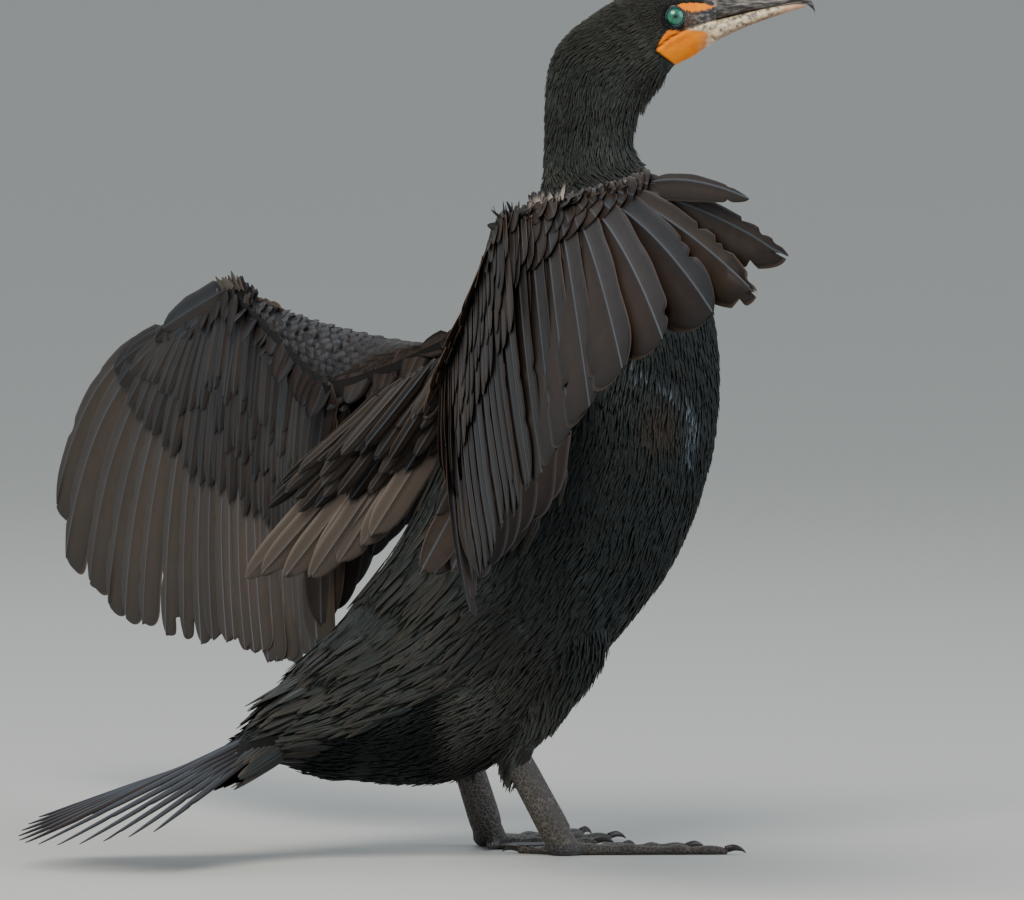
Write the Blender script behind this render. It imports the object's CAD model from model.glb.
"""The looks of a double-crested cormorant that stands with both wings held open to dry, as a still model.

Shapes are worked out in millimetres in the same drawing as the solids and placed in metres. The bird faces
+X, its left is +Y and the floor is z = 0.
"""

from __future__ import annotations

import logging
from dataclasses import dataclass, field, replace
from enum import Enum
from math import copysign, cos, exp, floor, pi, radians, sin

import bmesh
import bpy
import numpy as np
from bpy.types import Material, Mesh, Node, NodeSocket, NodeTree, Object
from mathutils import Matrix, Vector
from numpy.random import Generator

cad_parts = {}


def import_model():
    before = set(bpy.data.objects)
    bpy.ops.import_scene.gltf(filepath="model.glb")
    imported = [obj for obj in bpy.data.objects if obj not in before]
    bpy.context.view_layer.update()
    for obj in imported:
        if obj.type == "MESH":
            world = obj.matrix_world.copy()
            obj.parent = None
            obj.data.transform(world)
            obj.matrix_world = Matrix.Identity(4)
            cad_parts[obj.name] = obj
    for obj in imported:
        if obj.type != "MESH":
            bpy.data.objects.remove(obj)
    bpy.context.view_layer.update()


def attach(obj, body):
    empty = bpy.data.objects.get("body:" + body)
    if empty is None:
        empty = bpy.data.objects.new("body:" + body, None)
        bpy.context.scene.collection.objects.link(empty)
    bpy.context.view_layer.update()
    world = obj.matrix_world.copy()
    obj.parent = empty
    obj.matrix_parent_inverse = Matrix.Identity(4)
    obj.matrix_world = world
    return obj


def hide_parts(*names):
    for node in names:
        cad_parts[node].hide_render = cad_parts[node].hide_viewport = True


log = logging.getLogger("cormorant")
Array = np.ndarray

MM = 0.001
CENTRE = np.array((-88.05, -4.75, 0.0))
SEED = 20

# Trunk from tail root to neck base: x, z, half height on the back side, on the belly side, half width.
TRUNK = ((-168, 63, 13, 11, 17), (-146, 66, 28, 21, 29), (-118, 73, 41, 37, 42), (-67, 95, 57, 60, 57),
         (-24, 134, 62, 62, 64), (10, 186, 66, 74, 67), (27, 242, 64, 76, 65), (36, 296, 52, 62, 54),
         (34, 336, 34, 38, 36), (30, 358, 26, 27, 26))
# Neck and head in the head's own plane: forward, height, half size above, below, half width.
NECK = ((26, 358, 26, 27, 26), (25, 374, 24, 24, 23), (26.5, 391, 25, 26, 23), (32, 407.5, 28, 28, 22.5),
        (44.5, 421.5, 25, 26.5, 21.5), (59, 431.5, 22, 23.5, 19.5), (73.5, 436.5, 15.5, 20.5, 15),
        (84, 439, 12, 17.5, 11), (92.5, 440.8, 9.4, 14.8, 8.1))
HEAD_TURN = radians(-30)
HEAD_OFFSET = 14.5
MOUTH = ((60, 421.8), (68, 428), (77, 432.6), (88, 435.9), (98, 438.3), (113, 442), (131, 445.4))
# Bare skin of the face: the top of the mouth corner, and the stripe over the bill base with top and bottom.
CORNER_TOP = ((60.3, 421.5), (61.4, 423.2), (64.5, 428.6), (67, 431.3), (75.5, 431.2), (77, 432.6))
STRIPE = ((71, 443.4, 443.8), (73.5, 445.2, 442.4), (80, 445.6, 441.0), (86, 445.2, 441.9),
          (92, 443.6, 443.7))
# The bill's halves in the head's plane: forward, top, bottom, half width.
UPPER_BILL = ((92.8, 450.4, 436.9, 8.2), (100, 449.6, 438.6, 6.9), (110, 449.1, 441, 5.6),
              (122, 448.9, 443.6, 4.6), (133, 449.3, 445.6, 4.2), (138.5, 449.4, 445.4, 3.6),
              (142.2, 447.2, 443.2, 2.8), (144.3, 443.2, 440.8, 1.7), (144.8, 438.8, 438, 0.7))
LOWER_BILL = ((92.8, 436.5, 425.6, 7.6), (101, 438.4, 429.5, 6.2), (112, 441, 434.2, 4.8),
              (124, 443.4, 438.4, 3.8), (134, 444.9, 441.6, 2.9), (139, 444.8, 443, 1.4))
# How deep the coat lies, in mm, at shares of the way from tail root to bill base.
COAT_DEPTH = ((0, 3.0), (0.1, 3.5), (0.5, 3.5), (0.6, 2.6), (0.8, 1.6), (0.9, 0.7), (1.0, 0.15))
# Middle of the eyes in the head's plane, their radius, and how far they lie to its sides.
EYE = (70.5, 438.7)
EYE_RADIUS = 6.2
EYE_DEEP = 10.6
# Thigh: middle as x, y, z, half size fore and aft, half size across.
THIGH = ((0, 30, 138, 25, 18), (-9, 37, 112, 25.5, 20), (-21.5, 36, 86, 20.5, 18), (-29, 30, 66, 13.5, 13),
         (-31, 27.5, 53, 9.5, 9))
ANKLE = np.array((-36.0, 25.0, 63.0))
FOOT_JOINT = np.array((-11.0, 37.0, 11.0))
# The shank: share of its length, half size fore and aft, half size across.
TARSUS = ((0.20, 8.4, 6.0), (0.45, 8.6, 5.2), (0.7, 8.8, 5.2), (0.9, 8.8, 6.2), (1.0, 8.4, 6.8))
# The heel: height, half size fore and aft, half size across.
HEEL = ((13.0, 8.4, 6.6), (7.5, 9.0, 7.4), (3.0, 10.0, 8.0), (0.2, 8.6, 6.8))
# A toe's swellings: share of its length, share of its half width.
TOE_JOINTS = ((-0.02, 1.15), (0.1, 1.12), (0.2, 1.0), (0.31, 0.88), (0.4, 1.04), (0.5, 0.82), (0.62, 0.76),
              (0.7, 0.96), (0.78, 0.72), (0.88, 0.84), (0.95, 0.74), (1.0, 0.5))
TAIL_ROOT = np.array((-168.0, 0.0, 62.0))
TAIL_DROP = radians(22.5)
TAIL_FAN = radians(29)
# Share of the bake map that a short feather takes.
BAKE_SPOT = 0.003


class Side(Enum):
    """A side of the bird; the value is the sign of y on it."""

    LEFT = 1
    RIGHT = -1

    @property
    def label(self) -> str:
        """The side's name in node names."""
        return self.name.lower()


def unit(v: Array) -> Array:
    """The vector, or each row of vectors, at length 1."""
    v = np.asarray(v, float)
    return v / np.maximum(np.linalg.norm(v, axis=-1, keepdims=True), 1e-9)


def spline(rows: tuple, t: float) -> Array:
    """A row between evenly numbered rows on a Catmull-Rom curve.

    Args:
        rows: the rows of numbers.
        t: the place, from 0 to len(rows) - 1.

    Returns:
        The row at t.
    """
    rows = np.asarray(rows, float)
    last = len(rows) - 1
    i = int(min(max(floor(t), 0), last - 1))
    f = t - i
    a = rows[i - 1] if i > 0 else 2 * rows[0] - rows[1]
    b, c = rows[i], rows[i + 1]
    d = rows[i + 2] if i + 2 <= last else 2 * rows[last] - rows[last - 1]
    curved = (2 * a - 5 * b + 4 * c - d) * f * f
    return 0.5 * (2 * b + (c - a) * f + curved + (3 * b - a - 3 * c + d) * f**3)


def trend(rows: tuple, t: float, step: float) -> Array:
    """How the rows change round t on their curve."""
    return spline(rows, min(t + step, len(rows) - 1)) - spline(rows, max(t - step, 0))


def finer(rows: tuple, count: int) -> Array:
    """More rows on the curve through some."""
    return np.array([spline(rows, t) for t in np.linspace(0, len(rows) - 1, count)])


def between(keys: tuple, s: float) -> Array:
    """The values at s on a smooth curve through rows that start with their own place."""
    places = [k[0] for k in keys]
    i = int(np.clip(np.searchsorted(places, s) - 1, 0, len(keys) - 2))
    share = (s - places[i]) / (places[i + 1] - places[i])
    return spline([k[1:] for k in keys], i + share)


def head_point(forward: float, side: float, height: float) -> Array:
    """A point of the head's plane as a drawing point; side is to the bird's left."""
    c, s = cos(HEAD_TURN), sin(HEAD_TURN)
    across = side + HEAD_OFFSET
    return np.array((forward * c - across * s, forward * s + across * c, height))


def head_way(forward: float, side: float, height: float = 0.0) -> Array:
    """A direction of the head's plane in the drawing."""
    return unit(head_point(forward, side, height) - head_point(0, 0, 0))


def head_view(p: Array) -> tuple[Array, Array, Array]:
    """Forward, side and height in the head's plane of drawing points."""
    c, s = cos(HEAD_TURN), sin(HEAD_TURN)
    return p[..., 0] * c + p[..., 1] * s, p[..., 1] * c - p[..., 0] * s - HEAD_OFFSET, p[..., 2]


def metres(p: Array) -> Array:
    """Drawing points in mm as points of the scene in metres."""
    return (np.asarray(p, float) - CENTRE) * MM


def colour(code: str) -> tuple[float, float, float, float]:
    """An sRGB hex colour as linear values."""
    parts = [int(code[i:i + 2], 16) / 255 for i in (1, 3, 5)]
    linear = [v / 12.92 if v <= 0.04045 else ((v + 0.055) / 1.055) ** 2.4 for v in parts]
    return (*linear, 1.0)


def bump_at(p: Array, middle: tuple, reach: tuple) -> Array:
    """A soft spot round a drawing point, 1 in its middle."""
    return np.exp(-(((p - np.array(middle)) / np.array(reach)) ** 2).sum(-1))


# ---- meshes


def new_object(name: str, data: object, finish: Material | None) -> Object:
    """Adds a mesh, lamp or camera to the scene as an object at the origin."""
    made = bpy.data.objects.new(name, data)
    bpy.context.scene.collection.objects.link(made)
    if finish:
        data.materials.append(finish)
    return made


def settled(bm: bmesh.types.BMesh, name: str) -> Mesh:
    """A smooth mesh from one that was being edited."""
    mesh = bpy.data.meshes.new(name)
    bm.to_mesh(mesh)
    bm.free()
    smooth(mesh)
    return mesh


def loft(name: str, rings: list, finish: Material | None = None, capped: bool = True) -> Object:
    """Extrudes a first ring through all the others and closes both ends.

    Args:
        name: the object's name.
        rings: rings of drawing points, all with the same number of points.
        finish: the material.
        capped: whether the ends are closed.

    Returns:
        The new object.
    """
    count = len(rings[0])
    bm = bmesh.new()

    def border(ends: list) -> list:
        """The edges that join a closed row of corners."""
        return [bm.edges.get((ends[i], ends[(i + 1) % count])) for i in range(count)]

    row = bmesh.ops.create_circle(bm, cap_ends=False, segments=count, radius=1.0)["verts"]
    for vert, point in zip(row, metres(rings[0])):
        vert.co = point
    ends = [row]
    for ring in rings[1:]:
        grown = bmesh.ops.extrude_edge_only(bm, edges=border(row))["geom"]
        fresh = {g for g in grown if isinstance(g, bmesh.types.BMVert)}
        row = [next(e.other_vert(v) for e in v.link_edges if e.other_vert(v) in fresh) for v in row]
        for vert, point in zip(row, metres(ring)):
            vert.co = point
    ends.append(row)
    if capped:
        for end in ends:
            bmesh.ops.contextual_create(bm, geom=border(end))
    bmesh.ops.recalc_face_normals(bm, faces=bm.faces)
    return new_object(name, settled(bm, name), finish)


def smooth(mesh: Mesh) -> None:
    """Shades every face smooth."""
    mesh.polygons.foreach_set("use_smooth", np.ones(len(mesh.polygons), bool))


def apply_modifiers(thing: Object) -> Object:
    """Replaces the object's mesh by what its modifiers make of it."""
    shape = thing.evaluated_get(bpy.context.evaluated_depsgraph_get())
    mesh = bpy.data.meshes.new_from_object(shape)
    thing.modifiers.clear()
    thing.data = mesh
    smooth(mesh)
    return thing


def fuse(thing: Object, others: list) -> Object:
    """Joins other solids to one and removes them."""
    for other in others:
        step = thing.modifiers.new("fuse", "BOOLEAN")
        step.object = other
        step.operation = "UNION"
        step.solver = "MANIFOLD"
        apply_modifiers(thing)
        bpy.data.objects.remove(other)
    return thing


def remesh(thing: Object, grain: float, rounds: int) -> Object:
    """Turns overlapping closed shapes into one even skin and softens it.

    Args:
        thing: the object.
        grain: the size of its new faces, in mm.
        rounds: how often the skin is softened.

    Returns:
        The object.
    """
    step = thing.modifiers.new("skin", "REMESH")
    step.mode = "VOXEL"
    step.voxel_size = grain * MM
    step.use_smooth_shade = True
    soften = thing.modifiers.new("soften", "SMOOTH")
    soften.factor = 0.5
    soften.iterations = rounds
    return apply_modifiers(thing)


def join(name: str, things: list, finish: Material | None) -> Object:
    """One object from several, at the origin."""
    bm = bmesh.new()
    for thing in things:
        bm.from_mesh(thing.data)
        bpy.data.objects.remove(thing)
    return new_object(name, settled(bm, name), finish)


def drawing_points(mesh: Mesh) -> Array:
    """A mesh's vertices as drawing points in mm."""
    co = np.zeros(len(mesh.vertices) * 3, np.float32)
    mesh.vertices.foreach_get("co", co)
    return co.reshape(-1, 3).astype(float) / MM + CENTRE


def move(mesh: Mesh, p: Array) -> None:
    """Puts a mesh's vertices at drawing points."""
    mesh.vertices.foreach_set("co", metres(p).astype(np.float32).ravel())
    mesh.update()


def mark(mesh: Mesh, name: str, values: Array) -> None:
    """Stores one number for each vertex for the materials to read."""
    stored = mesh.attributes.new(name, "FLOAT", "POINT")
    stored.data.foreach_set("value", np.asarray(values, np.float32).ravel())


def dress(thing: Object, nodes: tuple = ()) -> Object:
    """Puts a piece on the model's only body and the solids it stands for."""
    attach(thing, "root")
    if nodes:
        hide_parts(*nodes)
    log.info("%s: %d faces", thing.name, len(thing.data.polygons))
    return thing


# ---- finishes


@dataclass
class Nodes:
    """A material under construction: its nodes and the surface that they lead to.

    Wherever a node is fed, the item may be a hex code, the name of a number stored on the mesh, a plain
    number or a socket.
    """

    name: str
    made: Material = field(init=False)
    tree: NodeTree = field(init=False)
    surface: Node = field(init=False)

    def __post_init__(self) -> None:
        """Makes the material with its surface node."""
        self.made = bpy.data.materials.new(self.name)
        self.made.use_nodes = True
        self.tree = self.made.node_tree
        self.surface = self.tree.nodes["Principled BSDF"]

    def feed(self, node: Node, inputs: dict) -> None:
        """Sets or links inputs of a node, by their names or numbers."""
        for key, item in inputs.items():
            if isinstance(item, str) and not item.startswith("#"):
                item = self.add("Attribute", {}, attribute_name=item).outputs["Fac"]
            if isinstance(item, NodeSocket):
                self.tree.links.new(item, node.inputs[key])
            else:
                node.inputs[key].default_value = colour(item) if isinstance(item, str) else item

    def add(self, kind: str, inputs: dict, **settings: object) -> Node:
        """Adds a node.

        Args:
            kind: the node's type, without the words that all types start with.
            inputs: what it is fed, by input name or number.
            settings: the node's own settings.

        Returns:
            The node.
        """
        node = self.tree.nodes.new("ShaderNode" + kind)
        for key, value in settings.items():
            setattr(node, key, value)
        self.feed(node, inputs)
        return node

    def mixes(self, share: object, first: object, second: object) -> NodeSocket:
        """Two colours mixed by a share."""
        return self.add("Mix", {0: share, 6: first, 7: second}, data_type="RGBA").outputs[2]

    def layers(self, tint: object, covers: tuple) -> NodeSocket:
        """A tint with others laid over it, listed as (share, colour)."""
        for share, cover in covers:
            tint = self.mixes(share, tint, cover)
        return tint

    def ramps(self, value: object, low: float, high: float, top: float = 1.0) -> NodeSocket:
        """A value stretched so that low gives 0 and high gives top, without going past them."""
        return self.add("MapRange", {0: value, 1: low, 2: high, 3: 0.0, 4: top}, clamp=True).outputs[0]

    def sums(self, kind: str, first: object, second: object = 0.0) -> NodeSocket:
        """A sum of two values of the kind named."""
        return self.add("Math", {0: first, 1: second}, operation=kind).outputs[0]

    def fades(self, value: object, low: float, high: float, strength: object) -> NodeSocket:
        """A value stretched from 0 at low to 1 at high, times a strength."""
        return self.sums("MULTIPLY", self.ramps(value, low, high), strength)

    def waves(self, value: object, rate: float) -> NodeSocket:
        """The sine of a value times a rate."""
        return self.sums("SINE", self.sums("MULTIPLY", value, rate))

    def place(self) -> NodeSocket:
        """The object's own place, in metres."""
        return self.add("TexCoord", {}).outputs["Object"]

    def noise(self, scale: float, detail: float = 4.0, place: NodeSocket | None = None) -> NodeSocket:
        """A noise on a place, scale in patches per metre."""
        inputs = {0: place or self.place(), "Scale": scale, "Detail": detail}
        return self.add("TexNoise", inputs).outputs["Fac"]

    def ends(self, tint: object, height: object = None, strength: float = 0.0, deep: float = 0.0,
             **more: object) -> Material:
        """Feeds the surface.

        Args:
            tint: its colour.
            height: its relief, if it has one.
            strength: how strongly the relief shows.
            deep: how deep the relief is, in mm.
            more: other inputs of the surface, with _ for each space.

        Returns:
            The finished material.
        """
        inputs = {"Base Color": tint, **{key.replace("_", " "): item for key, item in more.items()}}
        if height is not None:
            relief = {"Height": height, "Strength": strength, "Distance": deep * MM}
            inputs["Normal"] = self.add("Bump", relief).outputs[0]
        self.feed(self.surface, inputs)
        return self.made


@dataclass(frozen=True)
class Finish:
    """A finish made of node mixes on a principled surface."""

    name: str
    roughness: float = 0.5
    coat: float = 0.0
    specular: float = 0.5

    def start(self) -> Nodes:
        """A new material with its surface set."""
        n = Nodes(self.name)
        n.feed(n.surface, {"Roughness": self.roughness, "Coat Weight": self.coat,
                           "Specular IOR Level": self.specular})
        return n


@dataclass(frozen=True)
class Plumage(Finish):
    """Contour feathers, grown and preened: near-black barbs with a green gloss and paler worn tips."""

    name: str = "contour_feathers"
    roughness: float = 0.45
    specular: float = 0.26
    base: str = "#171717"
    gloss: str = "#1f2526"
    brown: str = "#3d3026"
    grey: str = "#50544f"
    tip: str = "#75685a"
    pale: str = "#cfc5b8"
    frost: str = "#93a2b0"
    black: str = "#060606"
    gap: str = "#070808"
    shine: str = "#cddfdf"
    strands: float = 1.3

    def build(self) -> Material:
        """Mixes the tints that each tuft carries."""
        n = self.start()
        tint = n.layers(n.mixes("tone", self.base, self.gloss), (
            ("brown", self.brown), ("grey", self.grey),
            (n.fades("along", 0.72, 1.0, "worn"), self.tip),
            (n.fades("along", 0.55, 0.9, "frost"), self.frost),
            (n.fades("along", 0.85, 0.5, "down"), self.pale), ("dark", self.black)))
        # Real barbs stand 0.3 mm apart; a few strands are drawn on each tuft so that they show.
        strand = n.waves("across", 2 * pi * self.strands)
        tint = n.mixes(n.ramps(strand, 0.2, -0.9, 0.35), tint, self.gap)
        return n.ends(tint, strand, 0.5, 0.2, Specular_Tint=self.shine)


@dataclass(frozen=True)
class Flight(Finish):
    """Wing and tail feathers: flat webs of fine slanted barbs on a hard, paler, shiny shaft."""

    name: str = "flight_feathers"
    roughness: float = 0.5
    specular: float = 0.2
    outer: str = "#2e3136"
    inner: str = "#382b25"
    bronze: str = "#4a3c31"
    edge: str = "#0f0e0e"
    cloud: str = "#1c1917"
    rim: str = "#8a7463"
    shaft: str = "#5a616b"
    deep: str = "#0c0b0b"
    pale: str = "#c9bfb2"
    faded: str = "#8a8078"
    shine: str = "#d3dcea"
    spacing: float = 1.2

    def build(self) -> Material:
        """Webs, dark margins, pale rims and shaft from the place on the feather."""
        n = self.start()
        wide = n.sums("ABSOLUTE", "across")
        web = n.mixes(n.ramps("across", -0.15, 0.15), self.inner, self.outer)
        # Barbs stand 0.4 mm apart on the real feather and are drawn wider apart so that they show.
        slant = n.sums("SUBTRACT", "reach", n.sums("MULTIPLY", "off", 0.9))
        barb = n.waves(slant, 2 * pi / self.spacing)
        shade = n.layers(web, (
            ("brown", self.bronze),
            (n.ramps(barb, -1.0, 1.0, 0.22), self.edge),
            (n.ramps(n.noise(90.0), 0.45, 0.75, 0.35), self.cloud),
            (n.fades(wide, 0.45, 0.95, "margin"), self.edge),
            (n.fades("along", 0.8, 1.0, "margin"), self.edge),
            (n.fades(wide, 0.88, 1.0, "rim"), self.rim),
            (n.fades("off", 0.75, 0.35, "stem"), self.shaft),
            (n.ramps("tone", 1.0, 0.0, 0.6), self.deep),
            ("grey", self.faded),
            (n.fades("along", 0.9, 0.55, "down"), self.pale)))
        return n.ends(shade, barb, 0.25, 0.2, Specular_Tint=self.shine)


@dataclass(frozen=True)
class BillGrain:
    """The grain that the horn of the bill shares with the skin it grows from."""

    dark: str = "#2d2b2c"
    streak: str = "#9a9590"
    cream: str = "#ecd9b4"
    mottle: str = "#6e675f"

    def build(self, n: Nodes) -> tuple[NodeSocket, NodeSocket, NodeSocket]:
        """Streaks along the bill, and the tints of its upper and its lower horn."""
        turned = n.add("Mapping", {0: n.place(), "Rotation": (0.0, 0.0, -HEAD_TURN)}).outputs[0]
        long = n.add("Mapping", {0: turned, "Scale": (0.16, 1.0, 1.0)}).outputs[0]
        streaks, spots = n.noise(700.0, place=long), n.noise(420.0, place=turned)
        return (streaks, n.mixes(n.ramps(streaks, 0.46, 0.76, 0.8), self.dark, self.streak),
                n.mixes(n.ramps(spots, 0.4, 0.64), self.cream, self.mottle))


@dataclass(frozen=True)
class Hide(Finish):
    """Living skin: dark under the feathers, and bare, orange and finely pebbled round the bill base."""

    name: str = "facial_skin"
    roughness: float = 0.6
    specular: float = 0.12
    under: str = "#0d0d0d"
    orange: str = "#ff9000"
    deep: str = "#e87400"
    lores: str = "#453b35"
    pebble: str = "#8f6c4a"
    mouth: str = "#1a100a"

    def build(self) -> Material:
        """Orange patches over a dark skin, with a grain of 1 mm pebbles."""
        n = self.start()
        grain = n.noise(900.0, 3.0)
        skin = n.mixes(n.ramps(n.noise(160.0), 0.35, 0.7), self.orange, self.deep)
        lores = n.mixes(n.ramps(grain, 0.5, 0.68, 0.8), self.lores, self.pebble)
        _, upper, lower = BillGrain().build(n)
        tint = n.layers(self.under, (("bare", lores), ("horn", lower), ("dark_horn", upper), ("orange", skin),
                                     ("line", self.mouth)))
        # Towards the bill the skin takes on the shine of its horn.
        horny = n.sums("ADD", "horn", "dark_horn")
        shine = n.sums("ADD", n.sums("MULTIPLY", horny, 0.38), self.specular)
        rough = n.sums("SUBTRACT", self.roughness, n.sums("MULTIPLY", horny, 0.26))
        return n.ends(tint, grain, 0.5, 0.4, Specular_IOR_Level=shine, Roughness=rough)


@dataclass(frozen=True)
class Horn(Finish):
    """Bill keratin, grown in long layers: dark and streaked above, cream and mottled below, half gloss."""

    name: str = "bill_keratin"
    roughness: float = 0.34
    specular: float = 0.5
    tip: str = "#cf9f84"
    brown: str = "#805026"
    mouth: str = "#1c1411"

    def build(self) -> Material:
        """Streaks along the bill, and cream mottles where the mesh asks for them."""
        n = self.start()
        streaks, upper, lower = BillGrain().build(n)
        lower = n.mixes("keel", lower, self.brown)
        tint = n.layers(upper, (("cream", lower), ("tip", self.tip), ("mouth", self.mouth)))
        return n.ends(tint, streaks, 0.35, 0.4)


@dataclass(frozen=True)
class Scales(Finish):
    """Leg and toe skin: small flat-set scales 2 mm across with grey rims, half dull."""

    name: str = "leg_scales"
    roughness: float = 0.48
    specular: float = 0.45
    plate: str = "#3a3632"
    patch: str = "#3d3731"
    groove: str = "#6b645d"
    web: str = "#24262b"
    across: float = 2.2
    finer: float = 1.6

    def build(self) -> Material:
        """Scales on the legs and toes, with finer ones on the web."""
        n = self.start()
        cells, fine = [n.add("TexVoronoi", {0: n.place(), "Scale": share / (self.across * MM)},
                             feature="DISTANCE_TO_EDGE").outputs["Distance"] for share in (1, self.finer)]
        size = n.add("Mix", {0: "web", 2: cells, 3: fine}).outputs[0]
        tint = n.layers(self.plate, (
            (n.ramps(n.noise(120.0), 0.4, 0.7), self.patch), ("web", self.web),
            (n.ramps(size, 0.12, 0.02, 0.75), self.groove)))
        return n.ends(tint, n.ramps(size, 0.0, 0.18), 0.6, 0.5)


@dataclass(frozen=True)
class ClawHorn(Finish):
    """Claw keratin: black-brown, smooth and half gloss."""

    name: str = "claw_keratin"
    roughness: float = 0.3
    dark: str = "#1c1917"
    streak: str = "#3a332d"

    def build(self) -> Material:
        """A dark horn colour with faint streaks."""
        n = self.start()
        return n.ends(n.mixes(n.ramps(n.noise(500.0), 0.4, 0.7), self.dark, self.streak))


@dataclass(frozen=True)
class Iris(Finish):
    """A wet eye: green-blue iris with fine spokes, black pupil, under a clear glossy cornea."""

    name: str = "wet_eye"
    roughness: float = 0.25
    coat: float = 1.0
    dark: str = "#0b7a5c"
    light: str = "#18946f"
    inner: str = "#07503f"
    outer: str = "#07453c"
    pupil: str = "#020202"
    rim: str = "#0a0909"

    def build(self) -> Material:
        """Rings of colour by the distance from the eye's axis, in mm."""
        n = self.start()
        iris = n.mixes(n.ramps(n.noise(1500.0), 0.35, 0.7), self.dark, self.light)
        iris = n.mixes(n.ramps("off", 1.2, 2.2, 0.5), self.inner, iris)
        iris = n.mixes(n.ramps("off", 3.4, 4.3, 0.7), iris, self.outer)
        tint = n.mixes(n.ramps("off", 0.85, 1.0), self.pupil, iris)
        return n.ends(n.mixes(n.ramps("off", 4.25, 4.5), tint, self.rim), Coat_Roughness=0.03)


@dataclass(frozen=True)
class LidSkin(Finish):
    """The thin lid: black wrinkled skin set with small blue-grey beads."""

    name: str = "lid_skin"
    roughness: float = 0.45
    specular: float = 0.25
    skin: str = "#0a0a0a"
    bead: str = "#3f5f66"

    def build(self) -> Material:
        """Black, with the beads where the mesh asks for them."""
        n = self.start()
        return n.ends(n.mixes("pale", self.skin, self.bead))


@dataclass(frozen=True)
class Paint(Finish):
    """The painted studio floor: one even dull colour."""

    name: str = "painted_floor"
    roughness: float = 0.75
    tint: str = "#c4c6c2"

    def build(self) -> Material:
        """A single colour."""
        return self.start().ends(self.tint)


# ---- body surfaces


@dataclass
class Tube:
    """A bent tube with an oval section of its own at every place along it.

    Rows hold the middle, the upward and sideways directions, and the half sizes above, below and across.
    """

    rows: Array
    reach: Array = field(init=False)

    def __post_init__(self) -> None:
        """Works out the distance along the middle line."""
        steps = np.linalg.norm(np.diff(self.rows[:, :3], axis=0), axis=1)
        self.reach = np.concatenate(((0.0,), np.cumsum(steps)))

    def point(self, t: Array, turn: Array, grow: Array | float = 0.0) -> Array:
        """Points of the surface.

        Args:
            t: shares of the number of rows, 0 to 1.
            turn: angles round the section from its upper side, in radians.
            grow: how far outside the surface, in mm.

        Returns:
            Drawing points, one for each t.
        """
        at = np.clip(np.asarray(t, float), 0, 1) * (len(self.rows) - 1)
        row = np.stack([np.interp(at, np.arange(len(self.rows)), c) for c in self.rows.T], -1)
        up, side = unit(row[..., 3:6]), unit(row[..., 6:9])
        c, s = np.cos(turn), np.sin(turn)
        depth = np.where(c > 0, row[..., 9], row[..., 10]) + grow
        return row[..., :3] + up * (depth * c)[..., None] + side * ((row[..., 11] + grow) * s)[..., None]

    def frame(self, t: Array, turn: Array) -> tuple[Array, Array]:
        """Outward normals, and directions along the surface towards the first row."""
        t, turn = np.asarray(t, float), np.asarray(turn, float)
        lie = self.point(np.clip(t - 0.004, 0, 1), turn) - self.point(np.clip(t + 0.004, 0, 1), turn)
        round_ = self.point(t, turn + 0.02) - self.point(t, turn - 0.02)
        lie = unit(lie)
        normal = unit(np.cross(round_, lie))
        middle = self.point(t, turn, 1.0) - self.point(t, turn)
        flip = np.where((normal * middle).sum(-1) < 0, -1.0, 1.0)
        return normal * flip[..., None], lie

    def rings(self, places: Array, sides: int, grow: object) -> list:
        """Rings of points at the places, grow being a number or a function of t."""
        turn = np.arange(sides) * 2 * pi / sides
        out = []
        for t in places:
            more = grow(t) if callable(grow) else grow
            out.append(self.point(np.full(sides, t), turn, more))
        return out

    def loft(self, name: str, count: int, sides: int, grow: float = 0.0, finish: Material | None = None
             ) -> Object:
        """The tube as a solid, from evenly spread rings."""
        return loft(name, self.rings(np.linspace(0, 1, count), sides, grow), finish)

    def scatter(self, first: float, last: float, along: float, across: float, rng: Generator
                ) -> tuple[Array, Array]:
        """Staggered places over part of the surface.

        Args:
            first: share of the rows to start at.
            last: share of the rows to stop at.
            along: distance between rows of places, in mm.
            across: distance between places in a row, in mm.
            rng: the random source.

        Returns:
            Shares of the rows, and turns.
        """
        index = np.arange(len(self.rows)) / (len(self.rows) - 1)
        start, stop = np.interp((first, last), index, self.reach)
        ts, turns = [], []
        for number, distance in enumerate(np.arange(start, stop, along)):
            t = float(np.interp(distance, self.reach, index))
            sizes = self.rows[int(t * (len(self.rows) - 1)), 9:12]
            circle = pi * (0.5 * (sizes[0] + sizes[1]) + sizes[2])
            count = max(6, int(circle / across))
            turn = (np.arange(count) + 0.5 * (number % 2)) * 2 * pi / count
            turns.append(turn + rng.uniform(-0.35, 0.35, count) * 2 * pi / count)
            shift = rng.uniform(-0.4, 0.4, count) * along / self.reach[-1]
            ts.append(np.clip(t + shift, 0, 1))
        return np.concatenate(ts), np.concatenate(turns)


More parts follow.
